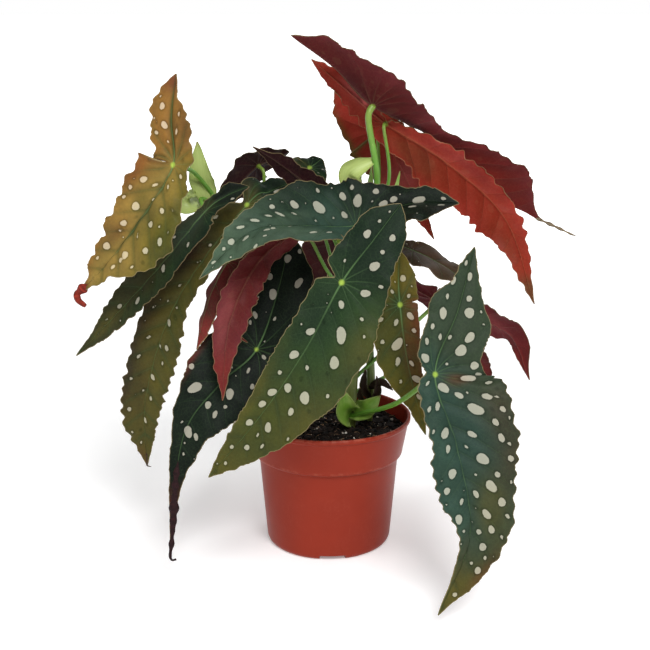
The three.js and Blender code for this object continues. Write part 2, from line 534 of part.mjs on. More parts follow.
// The blade as a closed sheet of even thickness, its margin cut in coarse teeth.
function leafGeometry(row, blade) {
  const large = row[1] === LARGE;
  const stations = large ? LARGE_STATIONS : SMALL_STATIONS;
  const spread = large ? LARGE_SPREAD : SMALL_SPREAD;
  const step = 1e-3;
  const sheet = stations.map((station, i) => spread.map((across) => {
    const tooth = Math.abs(across) === 1 ? 1 + (i % 2 ? -TOOTH : TOOTH) : 1;
    const point = blade.surface(station, across * tooth);
    const s = Math.min(Math.max(station, step), 5 - step);
    const a = Math.min(Math.max(across, -1 + step), 1 - step);
    const along = blade.surface(s + step, a).sub(blade.surface(s - step, a));
    const over = blade.surface(s, a + step).sub(blade.surface(s, a - step));
    const normal = along.cross(over).normalize();
    const up = blade.frame(station).up;
    if (normal.dot(up) < 0.3) normal.copy(up);
    return { point, normal };
  }));
  return sheetSolid(sheet, BLADE);
}

// ---- the plant ----------------------------------------------------------------------------
const COLOURS = {
  pot: 0x9b4130, soil: 0x241c18, cane: 0x5a8a30,
  green: 0x1f3d30, gold: 0x8a6a28, olive: 0x555828, red: 0x8a3226, maroon: 0x4a1a20,
};
const LEAF_COLOURS = {
  leaf_gold_left: "gold", leaf_olive_left: "olive", leaf_olive_right: "olive",
  leaf_red_right: "maroon", leaf_top: "maroon", leaf_top_red: "red", leaf_top_small: "red",
  leaf_crimson: "red", leaf_maroon_back: "maroon", leaf_maroon_tip: "maroon",
};

const plant = new THREE.Group();

function addNode(name, geometry, colour, roughness) {
  const shown = geometry.index ? geometry : mergeVertices(geometry);
  shown.computeVertexNormals();
  const material = new THREE.MeshStandardMaterial({ color: COLOURS[colour], roughness, metalness: 0 });
  const mesh = new THREE.Mesh(shown, material);
  mesh.name = name;
  plant.add(mesh);
}

addNode("pot", potGeometry(), "pot", 0.45);
addNode("soil", soilGeometry(), "soil", 0.95);
const blades = new Map(LEAVES.map((row) => [row[0], new Blade(row)]));
for (const [name, radius, points] of CANES) {
  addNode(name, caneGeometry(name, radius, points, blades), "cane", 0.5);
}
for (const row of LEAVES) {
  addNode(row[0], leafGeometry(row, blades.get(row[0])), LEAF_COLOURS[row[0]] ?? "green", 0.45);
}

export default plant;
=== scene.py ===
import math

import bpy
import numpy as np
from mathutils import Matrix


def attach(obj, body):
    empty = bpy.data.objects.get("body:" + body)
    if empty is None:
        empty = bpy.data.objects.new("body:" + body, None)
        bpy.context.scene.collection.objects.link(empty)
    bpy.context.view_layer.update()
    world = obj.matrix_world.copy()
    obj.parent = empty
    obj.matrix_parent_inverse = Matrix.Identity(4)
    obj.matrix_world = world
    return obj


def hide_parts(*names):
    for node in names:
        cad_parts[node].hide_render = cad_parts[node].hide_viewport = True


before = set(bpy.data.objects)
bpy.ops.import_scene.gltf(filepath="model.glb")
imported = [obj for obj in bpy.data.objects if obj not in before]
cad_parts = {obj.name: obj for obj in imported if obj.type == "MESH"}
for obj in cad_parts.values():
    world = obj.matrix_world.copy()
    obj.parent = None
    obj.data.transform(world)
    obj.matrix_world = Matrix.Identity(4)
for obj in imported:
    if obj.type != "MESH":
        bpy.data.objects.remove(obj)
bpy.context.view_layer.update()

bl_info = {
    "name": "Polka dot begonia in a nursery pot",
    "version": (1, 0, 0),
    "blender": (4, 5, 0),
    "location": "3D View > Sidebar > Begonia",
    "description": "Spotted angel-wing leaves, canes, soil and a moulded pot around a packed frame",
    "category": "Add Mesh",
}

MM = 0.001


def paint(red, green, blue):
    """A colour given as 0 to 255 display values, as the linear values that a shader reads."""
    share = np.array([red, green, blue]) / 255
    linear = np.where(share <= 0.04045, share / 12.92, ((share + 0.055) / 1.055) ** 2.4)
    return tuple(round(float(v), 5) for v in linear)


# ---- tables, in millimetres and degrees ---------------------------------------------------
# What most leaves share: fold and bend, right and left, and wave height and waves. Then the
# stations of the petiole's junction and of the tip, and the least half width.
FLAT = [10, 10, -15, -15]
SOFT = [2.0, 4]
HUB, END = 2, 5
LEAST_HALF = 0.3
# A leaf: name, six midrib points from the tip of the back lobe (station 0) through the
# petiole's junction (station 2) to the tip (station 5), the upper side's direction at
# stations 0, 2 and 5 or one for all, half widths at stations 0.5 to 4.5 right and left of the
# midrib, [side of the sinus, its station, its depth], [fold right, left, bend right, left]
# and [wave height, waves]. The leaves, canes and petioles have the solid model's values.
LEAVES = [
    ["leaf_gold_left", [[-100, -30, 341], [-103, -38, 312], [-102, -45, 283], [-119, -52, 254],
     [-148, -52, 217], [-170, -44, 196]], [-2, -10, 2], [4, 14, 13, 14, 17, 29, 30, 11, 4],
     [12, 15, 15, 22, 26, 23, 17, 14, 4], [-1, 2.0, 0.72], [25, 5, -15, -15], [2.5, 5]],
    ["leaf_dark_left", [[-55, -5, 263], [-71, -12, 257], [-85, -18, 247], [-112, -25, 215],
     [-145, -25, 179], [-179, -15, 144]], [[-4, -6, 7], [-4, -7, 6], [-3, -9, 4]],
     [6, 8, 9, 11, 14, 13, 13, 11, 6], [10, 9, 7, 6, 13, 19, 17, 12, 5], [1, 2.0, 0.3], FLAT, SOFT],
    ["leaf_olive_left", [[-26, 32, 261], [-42, 24, 255], [-58, 14, 247], [-107, -5, 182],
     [-131, -10, 113], [-133, -8, 58]], [[-3, -6, 6], [-3, -8, 4], [-2, -10, 2]],
     [8, 11, 12, 12, 12, 10, 17, 14, 8], [9, 12, 14, 15, 17, 20, 21, 18, 14], [-1, 2.0, 0.72], FLAT,
     SOFT],
    ["leaf_front_high", [[88, -28, 255], [54, -26, 254], [18, -30, 240], [-19, -43, 242],
     [-51, -60, 241], [-84, -74, 213]], [0, -6, 8], [26, 30, 31, 32, 36, 31, 28, 30, 12],
     [10, 13, 26, 33, 31, 30, 23, 14, 7], [1, 2.45, 0.5], [35, 35, -15, -15], SOFT],
    ["leaf_front_long", [[46, -72, 262], [28, -82, 240], [8, -88, 214], [-15, -96, 172],
     [-44, -100, 129], [-79, -97, 85]], [0, -10, 4], [15, 20, 26, 32, 36, 37, 33, 26, 15],
     [13, 16, 16, 15, 16, 17, 16, 12, 8], [-1, 2.0, 0.6], FLAT, SOFT],
    ["leaf_front_right", [[95, -62, 232], [83, -80, 193], [68, -95, 155], [81, -115, 113],
     [89, -132, 60], [69, -145, 11]], [1, -10, 3], [9, 22, 27, 37, 42, 40, 33, 24, 13],
     [10, 20, 16, 14, 14, 18, 20, 9, 3], [-1, 2.0, 0.5], [10, 25, -15, -15], SOFT],
    ["leaf_olive_right", [[49, -20, 221], [48, -25, 203], [49, -30, 185], [53, -35, 154], [60, -38, 122],
     [68, -38, 93]], [1, -10, 3], [8, 12, 13, 13, 12, 11, 9, 8, 4], [6, 11, 14, 18, 21, 21, 17, 10, 5],
     [1, 2.0, 0.3], FLAT, SOFT],
    ["leaf_brown_right", [[41, 20, 221], [50, 15, 218], [60, 10, 215], [76, 5, 208], [92, 0, 198],
     [107, -10, 183]], [1, -3, 10], [6, 9, 10, 12, 13, 13, 12, 8, 4], [8, 12, 14, 16, 18, 18, 16, 12, 6],
     [1, 2.0, 0.72], FLAT, SOFT],
    ["leaf_red_right", [[49, 40, 194], [64, 35, 182], [80, 30, 174], [111, 20, 162], [134, 10, 150],
     [146, 0, 121]], [[4, 8, 6], [4, 8, 6], [8, 6, 2]], [8, 12, 14, 15, 16, 15, 12, 8, 5],
     [6, 9, 10, 11, 12, 14, 15, 14, 8], [-1, 2.0, 0.72], FLAT, SOFT],
    ["leaf_top", [[-25, -16, 365], [4, -11, 344], [30, -2, 318], [78, 21, 291], [127, 31, 248],
     [178, 34, 222]], [[0, 1, 10], [0, 2, 10], [0, 6, 8]], [15, 22, 26, 30, 32, 31, 29, 22, 3],
     [16, 24, 28, 31, 21, 9, 27, 28, 2], [1, 2.0, 0.72], [46, 35, -15, -15], SOFT],
    ["leaf_top_red", [[-12, 18, 348], [15, 17, 325], [40, 15, 304], [82, 6, 278], [123, -5, 240],
     [144, -16, 182]], [-2, 9, 4], [6, 8, 11, 14, 18, 26, 22, 19, 8], [6, 6, 5, 5, 7, 12, 12, 11, 6],
     [-1, 2.0, 0.5], [10, 20, -15, -15], SOFT],
    ["leaf_top_small", [[6, 60, 329], [20, 58, 311], [37, 55, 294], [52, 50, 271], [64, 45, 246],
     [78, 40, 217]], [-2, 9, 4], [12, 18, 26, 29, 27, 22, 18, 12, 5], [10, 14, 16, 18, 18, 16, 10, 6, 3],
     [1, 2.0, 0.72], FLAT, SOFT],
    ["leaf_crimson", [[11, -8, 254], [-5, -14, 247], [-20, -24, 237], [-47, -44, 218], [-66, -60, 179],
     [-71, -70, 129]], [[2, 8, 5], [2, 8, 5], [5, 8, 2]], [6, 8, 9, 9, 9, 9, 12, 13, 9],
     [6, 8, 9, 10, 10, 10, 12, 12, 6], [-1, 2.0, 0.72], FLAT, SOFT],
    ["leaf_black_left", [[-27, 0, 229], [-35, -18, 193], [-50, -34, 154], [-75, -53, 134],
     [-99, -68, 100], [-109, -75, 17]], [-1, -10, 3], [18, 24, 30, 30, 29, 28, 23, 15, 3],
     [16, 22, 26, 28, 30, 27, 18, 8, 4], [-1, 2.0, 0.72], FLAT, SOFT],
    ["leaf_folded_left", [[-46, -15, 231], [-57, -22, 225], [-69, -30, 215], [-79, -38, 197],
     [-85, -44, 179], [-90, -48, 158]], [-8, -6, 3], [5, 7, 8, 9, 10, 11, 11, 9, 5],
     [5, 7, 9, 11, 12, 12, 11, 9, 5], [-1, 2.0, 0.72], [-15, -15, -15, -15], SOFT],
    ["leaf_maroon_back", [[-29, 62, 279], [-40, 57, 275], [-52, 52, 270], [-62, 47, 261], [-73, 43, 249],
     [-84, 40, 234]], [0, 7, 7], [7, 10, 14, 17, 18, 17, 14, 9, 5], [7, 10, 13, 16, 17, 16, 13, 9, 5],
     [-1, 2.0, 0.72], FLAT, SOFT],
    ["leaf_maroon_tip", [[12, 10, 248], [4, 11, 252], [-5, 12, 258], [-20, 12, 266], [-36, 10, 278],
     [-53, 8, 289]], [0, 8, 5], [5, 7, 8, 9, 10, 10, 9, 7, 3], [5, 7, 8, 9, 10, 10, 9, 7, 3],
     [-1, 2.0, 0.72], FLAT, SOFT],
    ["leaf_spotted_back", [[-5, 70, 273], [-9, 66, 270], [-14, 62, 267], [-20, 56, 262], [-25, 50, 254],
     [-31, 44, 243]], [0, -7, 7], [6, 10, 14, 16, 18, 18, 15, 10, 5], [6, 9, 12, 14, 15, 14, 12, 9, 5],
     [-1, 2.0, 0.72], FLAT, SOFT],
    ["leaf_back_left", [[-33, 62, 232], [-41, 74, 210], [-49, 86, 188], [-59, 106, 138], [-69, 125, 81],
     [-77, 138, 32]], [[-2, 8, 6], [-2, 9, 5], [-3, 10, 2]], [8, 14, 20, 24, 27, 28, 24, 17, 9],
     [8, 13, 17, 18, 20, 22, 19, 13, 7], [-1, 2.0, 0.72], FLAT, SOFT],
    ["leaf_back_middle", [[18, 60, 249], [13, 80, 228], [8, 100, 205], [1, 125, 159], [-5, 138, 112],
     [-14, 144, 71]], [[1, 8, 6], [1, 9, 5], [0, 10, 2]], [8, 14, 20, 26, 28, 28, 24, 17, 9],
     [8, 13, 17, 20, 22, 23, 20, 14, 7], [1, 2.0, 0.72], FLAT, SOFT],
    ["leaf_back_right", [[84, 50, 178], [91, 65, 160], [97, 80, 137], [109, 105, 96], [119, 122, 56],
     [125, 132, 12]], [[3, 8, 6], [3, 9, 5], [3, 10, 2]], [7, 11, 15, 18, 20, 20, 17, 12, 6],
     [7, 12, 16, 20, 23, 24, 21, 15, 8], [1, 2.0, 0.72], FLAT, SOFT],
    ["leaf_back_high", [[-78, 52, 226], [-89, 58, 224], [-101, 66, 222], [-117, 87, 210],
     [-132, 105, 196], [-144, 116, 173]], [[-2, 6, 8], [-3, 7, 7], [-4, 8, 4]],
     [6, 9, 12, 14, 16, 17, 15, 10, 6], [6, 10, 14, 17, 19, 20, 17, 12, 6], [-1, 2.0, 0.72], FLAT, SOFT],
]
# A cane: name, radius and path.
CANES = [
    ["cane_main", 4.8, [[14, -3, 63], [15, -1, 90], [17, 2, 130], [19, 4, 170], [20, 6, 215],
                        [20, 8, 262]]],
    ["cane_left", 4.2, [[-6, 12, 63], [-8, 15, 90], [-16, 26, 132], [-34, 34, 178],
                        [-60, 34, 222], [-86, 24, 256]]],
]
# A petiole: its leaf, its cane, radius, the point on the cane and a point on the way.
PETIOLES = [
    ["leaf_gold_left", "cane_left", 2.0, [-84, 25, 254], [-94, 2, 272]],
    ["leaf_dark_left", "cane_left", 1.8, [-76, 28, 243], [-90, 10, 252]],
    ["leaf_olive_left", "cane_left", 1.8, [-41, 34, 190], [-54, 38, 220]],
    ["leaf_front_high", "cane_main", 2.0, [20, 6, 198], [20, -2, 216]],
    ["leaf_front_long", "cane_main", 2.2, [17, 2, 126], [14, -38, 170]],
    ["leaf_front_right", "cane_main", 2.2, [15, -2, 94], [46, -44, 118]],
    ["leaf_olive_right", "cane_main", 1.8, [18, 3, 140], [36, -6, 164]],
    ["leaf_brown_right", "cane_main", 1.6, [19, 5, 174], [42, 8, 198]],
    ["leaf_red_right", "cane_main", 1.8, [17, 2, 120], [50, 8, 150]],
    ["leaf_top", "cane_main", 2.6, [20, 7, 236], [33, -1, 262]],
    ["leaf_top_red", "cane_main", 1.6, [20, 7, 226], [42, 14, 262]],
    ["leaf_top_small", "cane_main", 1.6, [20, 6, 212], [36, 36, 256]],
    ["leaf_crimson", "cane_main", 1.6, [19, 4, 182], [0, -24, 206]],
    ["leaf_black_left", "cane_main", 2.0, [15, 0, 98], [-20, -6, 122]],
    ["leaf_folded_left", "cane_left", 1.6, [-34, 34, 178], [-54, 12, 198]],
    ["leaf_maroon_back", "cane_left", 1.6, [-50, 34, 206], [-50, 50, 234]],
    ["leaf_maroon_tip", "cane_main", 1.6, [19, 5, 190], [2, 18, 226]],
    ["leaf_spotted_back", "cane_main", 1.6, [18, 3, 160], [-4, 48, 222]],
    ["leaf_back_left", "cane_left", 1.8, [-16, 26, 132], [-40, 50, 160]],
    ["leaf_back_middle", "cane_main", 1.8, [17, 2, 134], [14, 54, 172]],
    ["leaf_back_right", "cane_main", 1.8, [16, 0, 110], [62, 40, 122]],
    ["leaf_back_high", "cane_left", 1.6, [-64, 33, 227], [-80, 48, 208]],
]
# How far below its leaf a petiole turns to meet it, in mm.
PETIOLE_RISE = 7
# A stipule: cane, foot, a point on the way, tip, half width, facing, cup, colour.
STIPULES = [
    ["cane_main", [19, 4, 256], [14, -6, 272], [34, -2, 282], 10, [1, -3, 1], 60, "pale"],
    ["cane_main", [15, -4, 93], [12, -16, 104], [12, -18, 118], 11, [2, -8, 5], 55, "stipule"],
    ["cane_main", [16, 0, 96], [27, -12, 103], [37, -15, 114], 9, [1, -8, 5], 55, "stipule"],
    ["cane_main", [20, 8, 236], [27, 8, 254], [30, 6, 276], 4, [3, -4, 1], 50, "stipule"],
    ["cane_main", [20, 8, 228], [42, 10, 246], [50, 8, 272], 4, [3, -4, 1], 50, "stipule"],
    ["cane_left", [-84, 24, 248], [-92, 15, 266], [-92, 12, 292], 10, [3, -6, 1], 45, "pale"],
    ["cane_left", [-85, 23, 248], [-100, 10, 250], [-104, 8, 264], 10, [-3, -6, 4], 28, "pale"],
    ["cane_main", [14, -38, 170], [2, -52, 184], [-1, -56, 212], 3.2, [0, -10, 2], 50, "stipule"],
]
# The old papery sheaths, in the same form.
HUSKS = [
    ["cane_main", [31, 4, 106], [26, 1, 116], [27, 2, 129], 4.2, [-3, -8, 1], 75, "sheath"],
    ["cane_main", [30, 4, 114], [38, 1, 119], [47, 1, 113], 3.6, [2, -8, 4], 60, "sheath"],
    ["cane_main", [32, 4, 104], [35, 0, 113], [35, 1, 124], 4.0, [3, -8, 0], 70, "sheath"],
    ["cane_main", [29, 4, 102], [24, 0, 108], [23, -1, 116], 3.4, [-4, -8, 2], 60, "sheath"],
]
# The lower part of the main shoot that shows beside the front leaf: radius and path.
SIDE_SHOOT = [3.1, [[29, 9, 84], [31, 8, 104], [31, 7, 120], [29, 8, 150], [24, 8, 176],
                    [20, 6, 196]]]
# The looks of a leaf: its slot, then the colours of the upper side at the centre, right, left,
# lobe and tip, and of the under side at the centre, edge and tip. Then the station where the
# tip's colour starts, spot size, spots per 100 square centimetres, and in mm the quilting and
# the ragged margin.
LOOKS = {
    "leaf_gold_left": ["leaf_olive straw olive gold gold rust red maroon maroon", 4.35, 0.8, 9, 1.5,
        1.7],
    "leaf_dark_left": ["leaf_green bronze deep bronze black bronze maroon maroon maroon", 3.0, 0.7, 12,
        0.6, 0.7],
    # The olive left leaf's left colour, brown, is partly its own colour and partly painted shade of its
    # shaded left half.
    "leaf_olive_left": ["leaf_olive moss moss brown deep moss maroon brown brown", 4.0, 0.8, 12, 1.0,
        1.2],
    # The front high leaf's tip colour is painted sheen: a pale greyish green where the sky's sheen
    # shows.
    "leaf_front_high": ["leaf_green blue blue black black mist crimson maroon maroon", 2.9, 1.0, 8, 0.5,
        0.9],
    "leaf_front_long": ["leaf_green leaf leaf leaf deep fern crimson maroon maroon", 2.8, 1.0, 6, 0.45,
        0.5],
    "leaf_front_right": ["leaf_green sea slate sea slate moss crimson maroon maroon", 3.7, 1.0, 8, 0.8,
        1.1],
    "leaf_olive_right": ["leaf_olive fern rust olive olive olive maroon brown brown", 3.5, 0.9, 10, 0.2,
        0.4],
    "leaf_brown_right": ["leaf_olive umber umber umber umber umber maroon maroon maroon", 3.5, 0.3, 60,
        0.2, 0.3],
    "leaf_red_right": ["leaf_red deep deep deep deep deep plum plum crimson", 3.5, 0.8, 26, 0.4, 0.6],
    "leaf_top": ["leaf_red sea deep deep deep rust maroon plum straw", 4.55, 1.0, 44, 0.6, 0.6],
    "leaf_top_red": ["leaf_red deep deep deep moss moss flame red rust", 4.5, 0.9, 40, 0.7, 1.4],
    "leaf_top_small": ["leaf_red deep moss deep moss moss red flame red", 4.0, 0.8, 26, 0.7, 1.2],
    "leaf_crimson": ["leaf_red deep deep deep deep deep maroon plum crimson", 4.3, 0.7, 26, 0.8, 0.8],
    "leaf_black_left": ["leaf_green black black black black maroon maroon wine wine", 4.2, 0.95, 8, 0.15,
        0.4],
    "leaf_folded_left": ["leaf_olive maroon maroon plum maroon crimson crimson maroon maroon", 3.5, 0.5,
        10, 0.3, 0.5],
    "leaf_maroon_back": ["leaf_red wine wine wine wine maroon wine wine wine", 3.5, 0.6, 26, 0.3, 0.8],
    "leaf_maroon_tip": ["leaf_red wine maroon wine wine maroon wine wine wine", 3.5, 0.5, 26, 0.3, 0.7],
    "leaf_spotted_back": ["leaf_olive deep leaf fern deep umber maroon wine wine", 3.5, 0.6, 40, 0.3,
        0.6],
    "leaf_back_left": ["leaf_green leaf deep leaf deep fern crimson maroon maroon", 3.2, 1.0, 46, 0.6,
        0.7],
    "leaf_back_middle": ["leaf_green deep leaf deep deep leaf wine maroon maroon", 3.2, 1.05, 46, 0.5,
        0.6],
    "leaf_back_right": ["leaf_green sea leaf deep deep fern crimson maroon maroon", 3.2, 0.95, 46, 0.6,
        0.8],
    "leaf_back_high": ["leaf_green moss gold leaf leaf gold red maroon maroon", 3.5, 0.9, 46, 0.8, 0.9],
}
# Blotches, on the under side of the leaves in the red slot and on the upper side of the
# others: station, share across, spread in stations and in share, colour, strength.
BLOTCHES = {
    "leaf_gold_left": [[2.6, 0.1, 0.9, 0.3, "fern", 0.4], [3.2, 0.9, 0.5, 0.3, "fern", 0.6],
        [3.5, -0.45, 0.3, 0.3, "rust", 0.6], [2.5, -0.9, 0.5, 0.3, "flame", 0.3],
        [0.1, 0.0, 0.25, 2.0, "crimson", 0.6], [2.9, 0.0, 1.3, 0.06, "leaf", 0.8],
        [1.2, 0.0, 0.7, 0.08, "fern", 0.7], [1.2, 0.8, 0.4, 0.3, "rust", 0.4],
        [2.9, -0.3, 0.15, 0.2, "olive", 0.8], [3.9, 0.3, 0.2, 0.3, "rust", 0.5]],
    "leaf_dark_left": [[3.4, 0.6, 0.5, 0.35, "leaf", 0.8], [2.4, -0.2, 0.4, 0.6, "sea", 0.5],
        [4.4, 0.0, 0.5, 0.5, "moss", 0.6]],
    # The olive left leaf's wine blotch on its left half is painted shade.
    "leaf_olive_left": [[2.9, -0.8, 0.5, 0.45, "wine", 0.9], [4.9, -0.6, 0.2, 0.8, "rust", 0.6],
        [3.9, -0.2, 0.5, 0.3, "brown", 0.5], [3.2, 0.4, 0.4, 0.3, "fern", 0.7]],
    # The front high leaf's pale greyish green blotches are painted sheen.
    "leaf_front_high": [[3.5, 0.4, 0.8, 0.5, "mist", 0.7], [2.4, -0.55, 1.1, 0.4, "deep", 0.8],
        [2.9, -0.25, 0.7, 0.1, "mist", 0.4]],
    "leaf_front_long": [[3.2, 0.9, 0.9, 0.35, "moss", 0.8], [2.2, 0.0, 0.5, 0.4, "deep", 0.5],
        [3.9, -0.9, 0.8, 0.3, "moss", 0.5], [4.8, 0.0, 0.4, 2.0, "moss", 0.6],
        [2.6, -0.6, 0.5, 0.4, "deep", 0.6]],
    "leaf_front_right": [[3.1, 0.85, 0.45, 0.3, "umber", 0.8], [3.0, -0.6, 1.5, 0.5, "blue", 0.7],
        [4.35, 0.9, 0.2, 0.3, "rust", 0.7], [2.1, 0.4, 0.12, 0.2, "rust", 0.5],
        [3.7, 0.5, 0.3, 0.3, "moss", 0.5], [4.3, -0.3, 0.25, 0.3, "umber", 0.6]],
    "leaf_olive_right": [[3.2, 0.2, 0.6, 0.35, "rust", 0.7], [1.9, -0.1, 0.4, 0.3, "leaf", 0.8],
        [2.9, -0.8, 0.6, 0.3, "leaf", 0.5]],
    # On the top leaf's under side the two wine blotches along the midrib are painted shade in its
    # groove, and the red blotch near the tip is a painted glow where the under side is lit.
    "leaf_top": [[3.0, 0.8, 0.2, 0.3, "straw", 0.7], [3.15, 0.55, 0.1, 0.15, "sea", 0.7],
        [2.5, 0.0, 0.9, 0.16, "wine", 0.8], [1.0, 0.9, 0.35, 0.14, "gold", 0.6],
        [3.8, 0.0, 0.55, 0.9, "red", 0.65], [1.5, 0.0, 0.6, 0.4, "wine", 0.6],
        [2.3, 0.7, 0.2, 0.2, "crimson", 0.6]],
    "leaf_top_small": [[2.0, 0.95, 1.2, 0.16, "moss", 0.9], [3.4, 0.0, 0.5, 0.9, "rose", 0.8],
        [4.9, 0.0, 0.5, 2.0, "flame", 0.9]],
    "leaf_top_red": [[1.4, -0.4, 0.6, 0.5, "rose", 0.5], [3.3, -0.6, 0.7, 0.4, "crimson", 0.6],
        [2.6, 0.5, 0.5, 0.4, "rust", 0.5], [4.3, 0.6, 0.4, 0.4, "rust", 0.5]],
    "leaf_crimson": [[2.8, -0.5, 1.1, 0.4, "crimson", 0.5], [3.9, 0.4, 0.4, 0.4, "rose", 0.3]],
    "leaf_red_right": [[2.6, 0.3, 0.5, 0.5, "crimson", 0.6], [3.4, 0.0, 0.6, 0.5, "rose", 0.3]],
    "leaf_black_left": [[3.0, -0.97, 0.25, 0.1, "crimson", 0.9], [3.5, 0.2, 0.6, 0.5, "deep", 0.4],
        [4.1, 0.0, 0.25, 0.8, "slate", 0.15]],
}
# Side veins tinted in the ground colour of the upper side: colour and strength.
TINTED_VEINS = {"leaf_gold_left": ["fern", 0.6], "leaf_olive_left": ["leaf", 0.5],
                "leaf_olive_right": ["leaf", 0.5], "leaf_front_right": ["deep", 0.4],
                "leaf_front_long": ["deep", 0.4], "leaf_front_high": ["deep", 0.35],
                "leaf_dark_left": ["leaf", 0.5], "leaf_back_high": ["fern", 0.5]}
# Curled tips: leaf, the station where the curl begins, radius in mm, colour, and the corners
# of its way beyond the blade's end, in mm from that end.
CURLS = [
    ["leaf_top", 4.4, 1.5, "dry", [[3, 0, -1]]],
    ["leaf_black_left", 4.2, 3.0, "wine", [[1, 0, -2], [4, -1, -1]]],
    ["leaf_gold_left", 4.6, 3.4, "flame", [[1, -1, -4], [6, -2, -8]]],
    ["leaf_olive_left", 4.8, 1.1, "umber", [[3, 0, -1]]],
]
